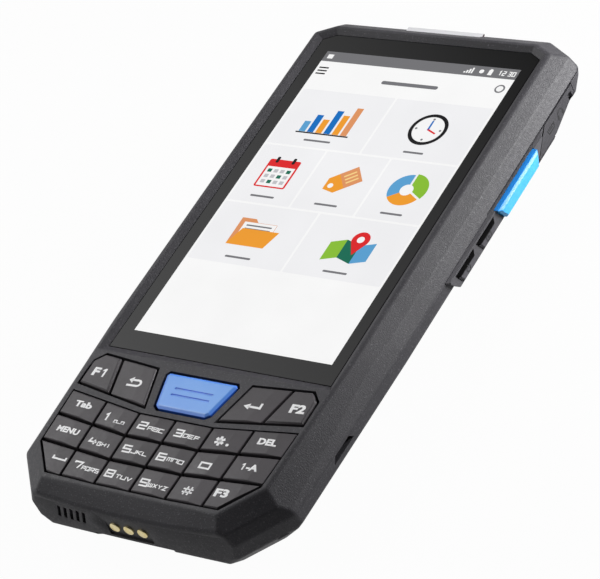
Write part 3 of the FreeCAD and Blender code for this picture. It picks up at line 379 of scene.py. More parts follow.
for nodeName, node in nodes.items():
    if nodeName in edgeLook["shells"]:
        softenEdges(node, edgeLook["shell"])
    elif nodeName in edgeLook["scans"]:
        softenEdges(node, edgeLook["scan"])
    elif "key_" in nodeName or nodeName.endswith("_key"):
        softenEdges(node, edgeLook["keys"])
print("edges softened")


# Flat shape building, in millimetres on a plane

mitreLimit = 0.35  # keeps a sharp turn from running out to a spike


def ribbon(shape, points, width, low=-1, high=1, closed=False):
    # a stroke of even width along points, with mitred turns
    count = len(points)
    rings = []
    for index in range(count):
        here = Vector(points[index])
        before = Vector(points[index - 1]) if closed or index else None
        after = Vector(points[(index + 1) % count]) if closed or index < count - 1 else None
        arriving = ((here - before) if before is not None else (after - here)).normalized()
        leaving = (after - here).normalized() if after is not None else arriving
        turn = (arriving + leaving).normalized()
        side = Vector((-turn.y, turn.x))
        reach = width / 2 / max(mitreLimit, abs(side.dot(Vector((-arriving.y, arriving.x)))))
        left = here + side * reach
        right = here - side * reach
        rings.append([shape.verts.new((*left, high)), shape.verts.new((*right, high)),
                      shape.verts.new((*right, low)), shape.verts.new((*left, low))])
    for first, second in zip(rings, rings[1:] + (rings[:1] if closed else [])):
        for corner in range(4):
            following = (corner + 1) % 4
            shape.faces.new((first[corner], first[following], second[following], second[corner]))
    if not closed:
        shape.faces.new(rings[0])
        shape.faces.new(list(reversed(rings[-1])))


def prism(shape, outline, low=-1, high=1, materialIndex=0):
    top = [shape.verts.new((x, y, high)) for x, y in outline]
    bottom = [shape.verts.new((x, y, low)) for x, y in outline]
    made = [shape.faces.new(top), shape.faces.new(list(reversed(bottom)))]
    count = len(outline)
    for index in range(count):
        following = (index + 1) % count
        made.append(shape.faces.new((top[index], bottom[index], bottom[following], top[following])))
    for face in made:
        face.material_index = materialIndex


def arc(x, y, radius, start, end, steps=12):
    return [(x + radius * math.cos(math.radians(start + (end - start) * i / steps)),
             y + radius * math.sin(math.radians(start + (end - start) * i / steps)))
            for i in range(steps + 1)]


def disc(x, y, radius, steps=24):
    return arc(x, y, radius, 0, 360, steps)[:-1]


def around(x, y, *corners):
    # corners given from a middle point
    return [(x + px, y + py) for px, py in corners]


def plainBox(x, y, width, height):
    across, up = width / 2, height / 2
    return around(x, y, (-across, -up), (across, -up), (across, up), (-across, up))


def roundedBox(x, y, width, height, radius):
    right, top = x + width / 2, y + height / 2
    left, low = x - width / 2, y - height / 2
    return (arc(right - radius, top - radius, radius, 0, 90, 4)
            + arc(left + radius, top - radius, radius, 90, 180, 4)
            + arc(left + radius, low + radius, radius, 180, 270, 4)
            + arc(right - radius, low + radius, radius, 270, 360, 4))


def toMetres(shape):
    bmesh.ops.scale(shape, verts=shape.verts, vec=(mm, mm, mm))


def placeMesh(name, mesh, body, place=Matrix.Identity(4)):
    mesh.transform(place)
    piece = bpy.data.objects.new(name, mesh)
    bpy.context.scene.collection.objects.link(piece)
    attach(piece, body)
    return piece


def addPiece(name, shape, materials, body):
    bmesh.ops.recalc_face_normals(shape, faces=shape.faces)
    mesh = bpy.data.meshes.new(name)
    shape.to_mesh(mesh)
    shape.free()
    for material in materials:
        mesh.materials.append(material)
    return placeMesh(name, mesh, body)


def surfaceOf(nodeName):
    mesh = nodes[nodeName].data
    return BVHTree.FromPolygons([v.co for v in mesh.vertices], [p.vertices for p in mesh.polygons])


# Geometry Nodes building

def geometryTree(name, sizes):
    tree = bpy.data.node_groups.new(name, "GeometryNodeTree")
    tree.interface.new_socket("Geometry", in_out="INPUT", socket_type="NodeSocketGeometry")
    for label, kind in sizes.items():
        tree.interface.new_socket(label, in_out="INPUT", socket_type="NodeSocket" + kind)
    tree.interface.new_socket("Geometry", in_out="OUTPUT", socket_type="NodeSocketGeometry")
    return tree, tree.nodes.new("NodeGroupInput"), tree.nodes.new("NodeGroupOutput")


def joinUp(tree, *links):
    for source, target in links:
        tree.links.new(source, target)


def closeTree(tree, geometry, groupIn, groupOut):
    realize = tree.nodes.new("GeometryNodeRealizeInstances")
    paint = tree.nodes.new("GeometryNodeSetMaterial")
    joinUp(tree, (geometry, realize.inputs["Geometry"]),
           (realize.outputs["Geometry"], paint.inputs["Geometry"]),
           (groupIn.outputs["Finish"], paint.inputs["Material"]),
           (paint.outputs["Geometry"], groupOut.inputs["Geometry"]))


def vectorOf(tree, x=0.0, y=0.0, z=0.0):
    node = tree.nodes.new("ShaderNodeCombineXYZ")
    for index, value in enumerate((x, y, z)):
        feed(tree, node.inputs[index], value)
    return node.outputs[0]


def rowOf(tree, part, count, pitch, axis="x", lift=0.0):
    # copies of a part along an axis, with the row's middle at the origin
    line = tree.nodes.new("GeometryNodeMeshLine")
    instances = tree.nodes.new("GeometryNodeInstanceOnPoints")
    start = calc(tree, "MULTIPLY", calc(tree, "MULTIPLY", pitch, -0.5),
                 calc(tree, "SUBTRACT", count, 1.0))
    joinUp(tree, (count, line.inputs["Count"]), (part, instances.inputs["Instance"]),
           (vectorOf(tree, **{axis: start, "z": lift}), line.inputs["Start Location"]),
           (vectorOf(tree, **{axis: pitch}), line.inputs["Offset"]),
           (line.outputs["Mesh"], instances.inputs["Points"]))
    return instances.outputs["Instances"]


def growMesh(name, tree, sizes, finish, points=((0, 0, 0),)):
    # run a tree on its starting points and keep the result as a plain mesh
    seed = bpy.data.meshes.new(name + "Seed")
    seed.from_pydata([Vector(p) * mm for p in points], [], [])
    holder = bpy.data.objects.new(name + "Seed", seed)
    bpy.context.scene.collection.objects.link(holder)
    modifier = holder.modifiers.new("grow", "NODES")
    modifier.node_group = tree
    for socket in tree.interface.items_tree:
        if socket.in_out == "INPUT" and socket.name in sizes:
            modifier[socket.identifier] = sizes[socket.name]
        elif socket.in_out == "INPUT" and socket.name == "Finish":
            modifier[socket.identifier] = finish
    bpy.context.view_layer.update()
    evaluated = holder.evaluated_get(bpy.context.evaluated_depsgraph_get())
    mesh = bpy.data.meshes.new_from_object(evaluated)
    mesh.name = name
    holder.modifiers.remove(modifier)
    bpy.data.objects.remove(holder)
    return mesh


# Key legends

strokeGlyphs = {  # strokes in a cell that runs from 0 to 1 both ways
    "1": [[(0.25, 0.78), (0.62, 1), (0.62, 0)]],
    "2": [[(0, 1), (1, 1), (1, 0.5), (0, 0.5), (0, 0), (1, 0)]],
    "3": [[(0, 1), (1, 1), (1, 0), (0, 0)], [(0.12, 0.5), (1, 0.5)]],
    "4": [[(0.2, 1), (0, 0.38), (1, 0.38)], [(0.72, 0.75), (0.72, 0)]],
    "5": [[(1, 1), (0, 1), (0, 0.5), (1, 0.5), (1, 0), (0, 0)]],
    "6": [[(1, 1), (0, 1), (0, 0), (1, 0), (1, 0.5), (0, 0.5)]],
    "7": [[(0, 0.8), (0, 1), (1, 1), (0.6, 0)]],
    "8": [[(0, 0), (1, 0), (1, 1), (0, 1), (0, 0)], [(0, 0.5), (1, 0.5)]],
    "9": [[(0, 0), (1, 0), (1, 1), (0, 1), (0, 0.5), (1, 0.5)]],
    "0": [[(0, 0), (1, 0), (1, 1), (0, 1), (0, 0)]],
    "A": [[(0, 0), (0, 1), (1, 1), (1, 0)], [(0, 0.45), (1, 0.45)]],
    "B": [[(0, 0), (1, 0), (1, 1), (0, 1), (0, 0)], [(0, 0.5), (1, 0.5)]],
    "C": [[(1, 1), (0, 1), (0, 0), (1, 0)]],
    "D": [[(0, 0), (0.7, 0), (1, 0.3), (1, 1), (0, 1), (0, 0)]],
    "E": [[(1, 1), (0, 1), (0, 0), (1, 0)], [(0, 0.5), (0.9, 0.5)]],
    "F": [[(1, 1), (0, 1), (0, 0)], [(0, 0.5), (0.9, 0.5)]],
    "G": [[(1, 1), (0, 1), (0, 0), (1, 0), (1, 0.5), (0.5, 0.5)]],
    "H": [[(0, 0), (0, 1)], [(1, 0), (1, 1)], [(0, 0.5), (1, 0.5)]],
    "I": [[(0.5, 0), (0.5, 1)]],
    "J": [[(1, 1), (1, 0), (0, 0), (0, 0.3)]],
    "K": [[(0, 0), (0, 1)], [(1, 1), (0.1, 0.5), (1, 0)]],
    "L": [[(0, 1), (0, 0), (1, 0)]],
    "M": [[(0, 0), (0, 1), (1, 1), (1, 0)], [(0.5, 1), (0.5, 0)]],
    "N": [[(0, 0), (0, 1), (1, 1), (1, 0)]],
    "O": [[(0, 0), (1, 0), (1, 1), (0, 1), (0, 0)]],
    "P": [[(0, 0), (0, 1), (1, 1), (1, 0.45), (0, 0.45)]],
    "Q": [[(0, 0), (1, 0), (1, 1), (0, 1), (0, 0)], [(0.6, 0.3), (1.1, -0.15)]],
    "R": [[(0, 0), (0, 1), (1, 1), (1, 0.45), (0, 0.45)], [(0.4, 0.45), (1, 0)]],
    "S": [[(1, 1), (0, 1), (0, 0.5), (1, 0.5), (1, 0), (0, 0)]],
    "T": [[(0, 1), (1, 1)], [(0.5, 1), (0.5, 0)]],
    "U": [[(0, 1), (0, 0), (1, 0), (1, 1)]],
    "V": [[(0, 1), (0.5, 0), (1, 1)]],
    "W": [[(0, 1), (0, 0), (1, 0), (1, 1)], [(0.5, 1), (0.5, 0)]],
    "X": [[(0, 0), (1, 1)], [(0, 1), (1, 0)]],
    "Y": [[(0, 1), (0.5, 0.5), (1, 1)], [(0.5, 0.5), (0.5, 0)]],
    "Z": [[(0, 1), (1, 1), (0, 0), (1, 0)]],
}
legendLook = {
    "digitWidth": 1.95, "digitHeight": 1.6, "digitStroke": 0.4,
    "letterHeight": 0.85, "letterGap": 0.34, "letterStroke": 0.24,
    "lift": 0.025, "sink": 0.05, "slice": 0.45, "bold": 0.045, "oneStem": 0.21,
    "weld": 0.0005, "sliceWeld": 0.0001, "dropFrom": 50.0,
    "ink": {"light": tone(255, 255, 255), "dark": tone(246, 246, 248), "wearScale": 500.0},
}
inkFinish = printInk("legendInk", legendLook["ink"])


def strokeWord(shape, word, x, y, width, height, stroke, gap=0.0):
    # word centred on x, y and written in squared strokes
    cell = (width - gap * (len(word) - 1)) / len(word)
    for place, letter in enumerate(word):
        left = x - width / 2 + place * (cell + gap)
        for points in strokeGlyphs[letter]:
            closed = points[0] == points[-1]
            path = points[:-1] if closed else points
            ribbon(shape, [(left + px * cell, y - height / 2 + py * height) for px, py in path],
                   stroke, closed=closed)


def fontWord(shape, word, x, y, width, height, turn=0.0):
    # word in the built-in letters, thickened and fitted to a box
    curve = bpy.data.curves.new("legendText", "FONT")
    curve.body = word
    curve.extrude = 1
    curve.offset = legendLook["bold"]
    curve.resolution_u = 3
    holder = bpy.data.objects.new("legendText", curve)
    bpy.context.scene.collection.objects.link(holder)
    bpy.context.view_layer.update()
    mesh = bpy.data.meshes.new_from_object(holder)
    xs = [v.co.x for v in mesh.vertices]
    ys = [v.co.y for v in mesh.vertices]
    middle = Vector(((min(xs) + max(xs)) / 2, (min(ys) + max(ys)) / 2, 0))
    fit = Matrix.Diagonal((width / (max(xs) - min(xs)), height / (max(ys) - min(ys)), 1, 1))
    place = Matrix.Translation((x, y, 0)) @ Matrix.Rotation(math.radians(turn), 4, "Z")
    mesh.transform(place @ fit @ Matrix.Translation(-middle))
    shape.from_mesh(mesh)
    bpy.data.objects.remove(holder)
    bpy.data.curves.remove(curve)
    bpy.data.meshes.remove(mesh)


def drapeOnKey(shape, nodeName):
    # lay a flat shape on the key's facets: its top just above them, its foot just below
    bmesh.ops.remove_doubles(shape, verts=shape.verts, dist=legendLook["weld"])
    xs = [v.co.x for v in shape.verts]
    step = legendLook["slice"]
    cut = min(xs) + step
    while cut < max(xs):
        bmesh.ops.bisect_plane(shape, geom=shape.verts[:] + shape.edges[:] + shape.faces[:],
                               plane_co=(cut, 0, 0), plane_no=(1, 0, 0),
                               dist=legendLook["sliceWeld"])
        cut += step
    keySurface = surfaceOf(nodeName)
    for vert in shape.verts:
        start = Vector((vert.co.x, vert.co.y, legendLook["dropFrom"])) * mm
        hit = keySurface.ray_cast(start, Vector((0, 0, -1)))[0]
        offset = legendLook["lift"] if vert.co.z > 0 else -legendLook["sink"]
        vert.co = Vector((start.x, start.y, hit.z + offset * mm))


def digitLegend(digit, x, level, word, wordX, wordLevel, wordWidth=3.9):
    def draw(shape):
        look = legendLook
        strokeWord(shape, digit, x, bottomEnd + level, look["digitWidth"], look["digitHeight"],
                   look["digitStroke"])
        strokeWord(shape, word, wordX, bottomEnd + wordLevel, wordWidth, look["letterHeight"],
                   look["letterStroke"], look["letterGap"])
    return draw


def wordLegend(word, x, level, width, height, turn=0.0):
    def draw(shape):
        fontWord(shape, word, x, bottomEnd + level, width, height, turn)
    return draw


def symbolLegend(symbol, x, level):
    def draw(shape):
        symbol(shape, x, bottomEnd + level)
    return draw


def boldOne(shape, x, y, height):
    # the numeral with a slanted flag, as heavy as the letters beside it
    stem = height * legendLook["oneStem"]
    top, low = height / 2, -height / 2
    prism(shape, around(x, y, (stem / 2, top), (-stem * 0.3, top),
                        (-stem * 1.45, top - stem * 0.9), (-stem * 1.45, top - stem * 1.75),
                        (-stem / 2, top - stem * 1.15), (-stem / 2, low), (stem / 2, low)))


def functionOne(shape, x, y):
    fontWord(shape, "F", x, y, 1.75, 2.25)
    boldOne(shape, x + 2.2, y, 2.25)


def oneToLetter(shape, x, y):
    boldOne(shape, x, y - 0.08, 1.65)
    fontWord(shape, "-A", x + 2.1, y + 0.03, 2.75, 1.65, 3.0)


def hashSign(shape, x, y):
    for side in (-1, 1):
        ribbon(shape, around(x, y, (-1.25, 0.38 * side), (1.25, 0.38 * side)), 0.34)
        ribbon(shape, around(x, y, (0.5 * side - 0.22, -1.05), (0.5 * side + 0.22, 1.05)), 0.38)


def oneAndLoops(shape, x, y):
    # the numeral beside two small loops on a bar
    look = legendLook
    strokeWord(shape, "1", x, y, look["digitWidth"] * 0.8, look["digitHeight"] * 1.15,
               look["digitStroke"])
    for loop in (2.85, 4.65):
        ribbon(shape, plainBox(x + loop, y - 0.75, 0.72, 0.6), look["letterStroke"], closed=True)
    ribbon(shape, around(x, y, (2.5, -1.05), (5.0, -1.05)), look["letterStroke"])


def starAndStop(shape, x, y):
    for turn in (90, 30, -30):
        arm = Vector((math.cos(math.radians(turn)), math.sin(math.radians(turn)))) * 1.2
        ribbon(shape, around(x, y, -arm, arm), 0.62)
    prism(shape, disc(x + 2.2, y - 0.65, 0.36, 10))


def backArrow(shape, x, y):
    ribbon(shape, around(x, y, (-0.9, 0.62)) + arc(x + 1.05, y - 0.1, 0.72, 90, -90, 8)
           + around(x, y, (-1.7, -0.82)), 0.52)
    prism(shape, around(x, y, (-1.75, 0.62), (-0.6, -0.18), (-0.6, 1.42)))


def enterArrow(shape, x, y):
    ribbon(shape, around(x, y, (-1.0, -0.28), (1.85, -0.28), (1.85, 1.0)), 0.52)
    prism(shape, around(x, y, (-2.2, -0.28), (-0.75, -1.05), (-0.75, 0.5)))


def spaceTray(shape, x, y):
    ribbon(shape, around(x, y, (-1.55, 0.35), (-1.55, -0.35), (1.55, -0.35), (1.55, 0.35)), 0.42)


def wideZero(shape, x, y):
    strokeWord(shape, "0", x, y, 2.45, 1.3, 0.42)


keyLegends = {
    "key_f1": symbolLegend(functionOne, -26.45, 32.3),
    "key_back": symbolLegend(backArrow, -15.65, 31.45),
    "key_enter": symbolLegend(enterArrow, 15.6, 31.2),
    "key_f2": wordLegend("F2", 26.2, 32.45, 3.6, 2.25, 4.0),
    "key_tab": wordLegend("Tab", -24.1, 23.55, 4.6, 1.6, -2.0),
    "key_1": symbolLegend(oneAndLoops, -16.6, 21.75),
    "key_2": digitLegend("2", -6.7, 21.4, "ABC", -3.1, 21.0),
    "key_3": digitLegend("3", 2.8, 21.3, "DEF", 6.2, 20.95),
    "key_star": symbolLegend(starAndStop, 13.3, 21.4),
    "key_del": wordLegend("DEL", 24.1, 23.35, 4.5, 1.65, 3.0),
    "key_menu": wordLegend("MENU", -23.6, 16.6, 5.8, 1.5, -2.0),
    "key_4": digitLegend("4", -15.85, 15.25, "GHI", -12.8, 14.85, 3.2),
    "key_5": digitLegend("5", -6.7, 15.1, "JKL", -3.3, 14.75),
    "key_6": digitLegend("6", 2.5, 14.9, "MNO", 6.1, 14.6),
    "key_0": symbolLegend(wideZero, 13.6, 14.95),
    "key_shift": symbolLegend(oneToLetter, 22.25, 16.7),
    "key_space": symbolLegend(spaceTray, -21.1, 9.65),
    "key_7": digitLegend("7", -15.6, 8.85, "PQRS", -12.1, 8.4, 4.2),
    "key_8": digitLegend("8", -6.8, 8.5, "TUV", -3.1, 8.15),
    "key_9": digitLegend("9", 2.4, 8.1, "WXYZ", 6.0, 7.8, 4.4),
    "key_hash": symbolLegend(hashSign, 13.4, 8.35),
    "key_f3": wordLegend("F3", 21.2, 9.5, 3.3, 2.05, 3.0),
}
for keyName, draw in keyLegends.items():
    legend = bmesh.new()
    draw(legend)
    drapeOnKey(legend, keyName)
    addPiece(keyName + "_legend", legend, [inkFinish], keyName + "_body")
print("legends on", len(keyLegends), "keys")


# Screen picture, in thin layers on the glass

screenLook = {
    "halfWidth": 25.92, "shift": 0.3, "low": -26.3, "top": 60.1, "glassTop": 17.0, "layer": 0.012,
    "statusHeight": 3.15, "tileHeight": 17.2, "tileGap": 0.55, "tileTop": 47.9,
    "tileRadius": 0.25, "rows": (2, 3, 2), "captionDrop": 6.6, "captionHeight": 0.55,
    "colours": {
        "paper": tone(255, 255, 255), "tile": tone(247, 247, 249), "status": tone(118, 118, 121),
        "white": tone(252, 252, 252), "grey": tone(120, 120, 124), "pale": tone(196, 197, 201),
        "orange": tone(245, 160, 45), "tan": tone(228, 152, 100), "blue": tone(10, 112, 196),
        "sky": tone(92, 164, 214), "red": tone(226, 36, 40), "green": tone(20, 110, 86),
        "lime": tone(140, 195, 55), "black": tone(26, 26, 28), "cream": tone(252, 214, 140),
    },
}
inkNames = list(screenLook["colours"])
screenInks = [litInk(name + "Light", colour) for name, colour in screenLook["colours"].items()]
tileInk = screenInks[inkNames.index("tile")]


def tileTree():
    # a row of rounded tiles centred on X
    tree, groupIn, groupOut = geometryTree("tileRow", {
        "Count": "Int", "Width": "Float", "Height": "Float", "Gap": "Float", "Corner": "Float",
        "Thickness": "Float", "Finish": "Material"})
    size = groupIn.outputs
    outline = tree.nodes.new("GeometryNodeCurvePrimitiveQuadrilateral")
    fillet = tree.nodes.new("GeometryNodeFilletCurve")
    fillet.mode = "POLY"
    fillet.inputs["Count"].default_value = 4
    fill = tree.nodes.new("GeometryNodeFillCurve")
    fill.mode = "NGONS"
    extrude = tree.nodes.new("GeometryNodeExtrudeMesh")
    joinUp(tree, (size["Width"], outline.inputs["Width"]),
           (size["Height"], outline.inputs["Height"]),
           (outline.outputs["Curve"], fillet.inputs["Curve"]),
           (size["Corner"], fillet.inputs["Radius"]),
           (fillet.outputs["Curve"], fill.inputs["Curve"]),
           (fill.outputs["Mesh"], extrude.inputs["Mesh"]),
           (size["Thickness"], extrude.inputs["Offset Scale"]))
    pitch = calc(tree, "ADD", size["Width"], size["Gap"])
    row = rowOf(tree, extrude.outputs["Mesh"], size["Count"], pitch)
    closeTree(tree, row, groupIn, groupOut)
    return tree


rowOfTiles = tileTree()
tileRows = {}
for row, count in enumerate(screenLook["rows"]):
    gap = screenLook["tileGap"]
    width = (2 * screenLook["halfWidth"] - (count + 1) * gap) / count
    middle = screenLook["tileTop"] - (row + 0.5) * screenLook["tileHeight"] - row * gap
    tileRows[row] = (count, width, middle)
    tiles = growMesh(f"screenTiles{row + 1}", rowOfTiles, {
        "Count": count, "Width": width * mm, "Height": screenLook["tileHeight"] * mm,
        "Gap": gap * mm, "Corner": screenLook["tileRadius"] * mm,
        "Thickness": 2 * screenLook["layer"] * mm}, tileInk)
    placeMesh(f"screen_tiles_{row + 1}", tiles, homeBody, Matrix.Translation(
        Vector((screenLook["shift"], middle, screenLook["glassTop"])) * mm))


def pictureLayer(shape, outline, colour, layer):
    step = screenLook["layer"]
    prism(shape, outline, screenLook["glassTop"] - step, screenLook["glassTop"] + step * layer,
          inkNames.index(colour))


def tileMiddle(row, index):
    count, width, middle = tileRows[row]
    return (index - (count - 1) / 2) * (width + screenLook["tileGap"]), middle


def barChart(shape, x, y):
    for index, (height, colour) in enumerate(((3.2, "sky"), (5.4, "blue"), (4.2, "orange"),
                                              (7.2, "blue"), (6.0, "orange"), (8.6, "tan"))):
        pictureLayer(shape, plainBox(x - 5.6 + 2.25 * index, y - 4.2 + height / 2, 1.7, height),
                     colour, 3)
    pictureLayer(shape, plainBox(x, y - 4.45, 14.2, 0.4), "black", 3)


def parcelTag(shape, x, y):
    # a price tag with a string hole
    turn = Matrix.Rotation(math.radians(38), 2)

    def turned(points):
        return around(x, y + 0.5, *(turn @ Vector(p) for p in points))

    pictureLayer(shape, turned([(-4.4, 0), (-2.4, -2.5), (4.6, -2.5), (4.6, 2.5), (-2.4, 2.5)]),
                 "orange", 3)
    pictureLayer(shape, turned([(0.2, -2.5), (4.6, -2.5), (4.6, 2.5), (0.2, 2.5)]), "tan", 4)
    pictureLayer(shape, turned(disc(-2.5, 0, 0.7, 14)), "white", 5)
    for level in (-1.1, 0.0, 1.1):
        pictureLayer(shape, turned(plainBox(2.4, level, 3.0, 0.45)), "cream", 5)


def clockFace(shape, x, y):
    pictureLayer(shape, disc(x, y + 0.5, 4.7, 40), "black", 3)
    pictureLayer(shape, disc(x, y + 0.5, 3.8, 40), "white", 4)
    for turn in range(0, 360, 90):
        spot = Vector((math.cos(math.radians(turn)), math.sin(math.radians(turn)))) * 3.1
        pictureLayer(shape, disc(x + spot.x, y + 0.5 + spot.y, 0.3, 10), "grey", 5)
    pictureLayer(shape, around(x, y, (-0.25, 0.3), (0.25, 0.3), (0.2, 3.2), (-0.2, 3.2)), "blue", 6)
    pictureLayer(shape, around(x, y, (-0.1, 0.75), (-0.1, 0.25), (2.2, -0.7), (2.4, -0.35)),
                 "red", 6)


def calendarLeaf(shape, x, y):
    pictureLayer(shape, roundedBox(x, y + 0.3, 8.4, 8.4, 0.5), "red", 3)
    pictureLayer(shape, plainBox(x, y - 0.6, 7.4, 5.8), "white", 4)
    for column in range(4):
        for line in range(3):
            colour = "green" if (column + line) % 3 == 0 else "pale"
            day = plainBox(x - 2.55 + 1.7 * column, y + 1.1 - 1.65 * line, 1.1, 1.0)
            pictureLayer(shape, day, colour, 5)
    for side in (-2.2, 2.2):
        pictureLayer(shape, roundedBox(x + side, y + 4.4, 0.8, 1.8, 0.3), "black", 4)


def pieChart(shape, x, y):
    for start, end, colour, shift in ((90, 215, "sky", 0), (215, 330, "orange", 0),
                                      (-30, 90, "lime", 0.6)):
        middle = math.radians((start + end) / 2)
        cx = x + shift * math.cos(middle)
        cy = y + 0.5 + shift * math.sin(middle)
        pictureLayer(shape, [(cx, cy)] + arc(cx, cy, 4.5, start, end, 16), colour, 3)
    pictureLayer(shape, disc(x, y + 0.5, 1.6), "white", 4)


def folderStack(shape, x, y):
    pictureLayer(shape, around(x, y, (-5.4, -3.2), (4.6, -3.2), (4.6, 3.6), (-0.6, 3.6),
                               (-1.6, 4.6), (-5.4, 4.6)), "tan", 3)
    pictureLayer(shape, plainBox(x + 0.2, y + 1.2, 8.6, 4.6), "white", 4)
    for level in (2.6, 1.6):
        pictureLayer(shape, plainBox(x + 0.2, y + level, 6.8, 0.4), "grey", 5)
    pictureLayer(shape, around(x, y, (-5.4, -3.2), (4.6, -3.2), (6.2, 1.6), (-3.6, 1.6)),
                 "orange", 6)


def mapMarker(shape, x, y):
    # three folds of a map under a pin
    for left, right, leftDrop, rightDrop, colour in ((-5.6, -1.9, 1.2, 0.0, "lime"),
                                                     (-1.9, 1.9, 0.0, 1.2, "green"),
                                                     (1.9, 5.6, 1.2, 0.0, "sky")):
        pictureLayer(shape, around(x, y, (left, -2.6 - leftDrop), (right, -2.6 - rightDrop),
                                   (right, 2.6 - rightDrop), (left, 2.6 - leftDrop)), colour, 3)
    head = arc(x + 1.2, y + 3.0, 2.2, -35, 215, 20)
    pictureLayer(shape, head + [(x + 1.2, y - 1.4)], "red", 4)
    pictureLayer(shape, disc(x + 1.2, y + 3.0, 0.9, 16), "white", 5)


# what each tile shows, with the width of the caption bar under it
tileMotifs = (((barChart, 7.2), (clockFace, 5.2)),
              ((calendarLeaf, 6.4), (parcelTag, 6.0), (pieChart, 5.6)),
              ((folderStack, 6.8), (mapMarker, 6.2)))


def statusStrip(shape):
    look = screenLook
    middle = look["top"] - look["statusHeight"] / 2
    pictureLayer(shape, plainBox(0, middle, 2 * look["halfWidth"], look["statusHeight"]),
                 "status", 2)
    for index in range(4):
        height = 0.45 + 0.42 * index
        pictureLayer(shape, plainBox(12.4 + 0.62 * index, middle - 0.85 + height / 2, 0.42,
                                     height), "white", 3)
    pictureLayer(shape, roundedBox(16.6, middle, 1.15, 1.15, 0.5), "white", 3)
    for x, y, width, height in ((-24.2, middle, 1.5, 1.3), (18.9, middle - 0.1, 1.0, 1.6),
                                (18.9, middle + 0.8, 0.5, 0.3)):
        pictureLayer(shape, plainBox(x, y, width, height), "white", 3)


def titleStrip(shape):
    # three menu bars, the title bar and a ring
    for index in range(3):
        pictureLayer(shape, plainBox(-23.9, 54.9 - 0.95 * index, 2.6, 0.4), "black", 3)
    pictureLayer(shape, roundedBox(1.0, 52.2, 15.0, 1.05, 0.5), "grey", 3)
    pictureLayer(shape, disc(23.7, 53.9, 1.25), "grey", 3)
    pictureLayer(shape, disc(23.7, 53.9, 0.85), "white", 4)


def clockDigits(shape):
    look = screenLook
    clock = bmesh.new()
    for digits, x in (("12", 21.9), ("30", 24.4)):
        strokeWord(clock, digits, x, look["top"] - look["statusHeight"] / 2, 1.7, 1.2, 0.24, 0.4)
    for vert in clock.verts:
        vert.co.z = look["glassTop"] + look["layer"] * (3 if vert.co.z > 0 else -1)
    for face in clock.faces:
        face.material_index = inkNames.index("white")
    flat = bpy.data.meshes.new("clockDigits")
    clock.to_mesh(flat)
    clock.free()
    shape.from_mesh(flat)
    bpy.data.meshes.remove(flat)


def screenPicture():
    shape = bmesh.new()
    look = screenLook
    height = look["top"] - look["low"]
    pictureLayer(shape, plainBox(0, look["low"] + height / 2, 2 * look["halfWidth"], height),
                 "paper", 1)
    statusStrip(shape)
    titleStrip(shape)
    for row, motifs in enumerate(tileMotifs):
        for index, (motif, captionWidth) in enumerate(motifs):
            x, y = tileMiddle(row, index)
            motif(shape, x, y)
            pictureLayer(shape, roundedBox(x, y - look["captionDrop"], captionWidth,
                                           look["captionHeight"], 0.25), "grey", 3)
    clockDigits(shape)
    bmesh.ops.translate(shape, verts=shape.verts, vec=(look["shift"], 0, 0))
    toMetres(shape)
    addPiece("screen_picture", shape, screenInks, homeBody)


screenPicture()
print("screen picture drawn")


# Charging contacts

contactLook = {"count": 3, "pitch": 3.6, "radius": 1.2, "rise": 0.16, "level": 11.6, "front": 0.34,
               "rootLength": 1.6, "sides": 40,
               # from and to as shares of the rise, then both radii as shares of the radius
               "steps": ((0.0, 0.52, 1.0, 0.93), (0.5, 1.02, 0.74, 0.5))}


def contactTree():
    # domed contact faces in a row, each with a turned step round it
    tree, groupIn, groupOut = geometryTree("contactRow", {
        "Count": "Int", "Pitch": "Float", "Radius": "Float", "Rise": "Float", "Root": "Float",
        "Finish": "Material"})
    size = groupIn.outputs
    parts = tree.nodes.new("GeometryNodeJoinGeometry")
    for low, high, lowShare, highShare in contactLook["steps"]:
        cone = tree.nodes.new("GeometryNodeMeshCone")
        cone.inputs["Vertices"].default_value = contactLook["sides"]
        move = tree.nodes.new("GeometryNodeTransform")
        joinUp(tree,
               (calc(tree, "MULTIPLY", size["Radius"], lowShare), cone.inputs["Radius Bottom"]),
               (calc(tree, "MULTIPLY", size["Radius"], highShare), cone.inputs["Radius Top"]),
               (calc(tree, "MULTIPLY", size["Rise"], high - low), cone.inputs["Depth"]),
               (cone.outputs["Mesh"], move.inputs["Geometry"]),
               (vectorOf(tree, z=calc(tree, "MULTIPLY", size["Rise"], low)),
                move.inputs["Translation"]),
               (move.outputs["Geometry"], parts.inputs["Geometry"]))
    root = tree.nodes.new("GeometryNodeMeshCylinder")
    root.inputs["Vertices"].default_value = contactLook["sides"]
    lower = tree.nodes.new("GeometryNodeTransform")
    joinUp(tree, (size["Radius"], root.inputs["Radius"]), (size["Root"], root.inputs["Depth"]),
           (root.outputs["Mesh"], lower.inputs["Geometry"]),
           (vectorOf(tree, z=calc(tree, "MULTIPLY", size["Root"], -0.5)),
            lower.inputs["Translation"]), (lower.outputs["Geometry"], parts.inputs["Geometry"]))
    row = rowOf(tree, parts.outputs["Geometry"], size["Count"], size["Pitch"])
    closeTree(tree, row, groupIn, groupOut)
    return tree


def towardBottomEnd(y, z):
    # stands a flat mesh up so that it faces the bottom end
    return Matrix.Translation((0, y * mm, z * mm)) @ Matrix.Rotation(math.pi / 2, 4, "X")


contacts = growMesh("contactFaces", contactTree(), {
    "Count": contactLook["count"], "Pitch": contactLook["pitch"] * mm,
    "Radius": contactLook["radius"] * mm, "Rise": contactLook["rise"] * mm,
    "Root": contactLook["rootLength"] * mm}, finishes["contact_gold"])
contactPiece = placeMesh("charging_contacts", contacts, homeBody,
                         towardBottomEnd(bottomEnd + contactLook["front"], contactLook["level"]))
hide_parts("charging_pins")
print("charging contacts set")


# Wire mesh over the loudspeaker

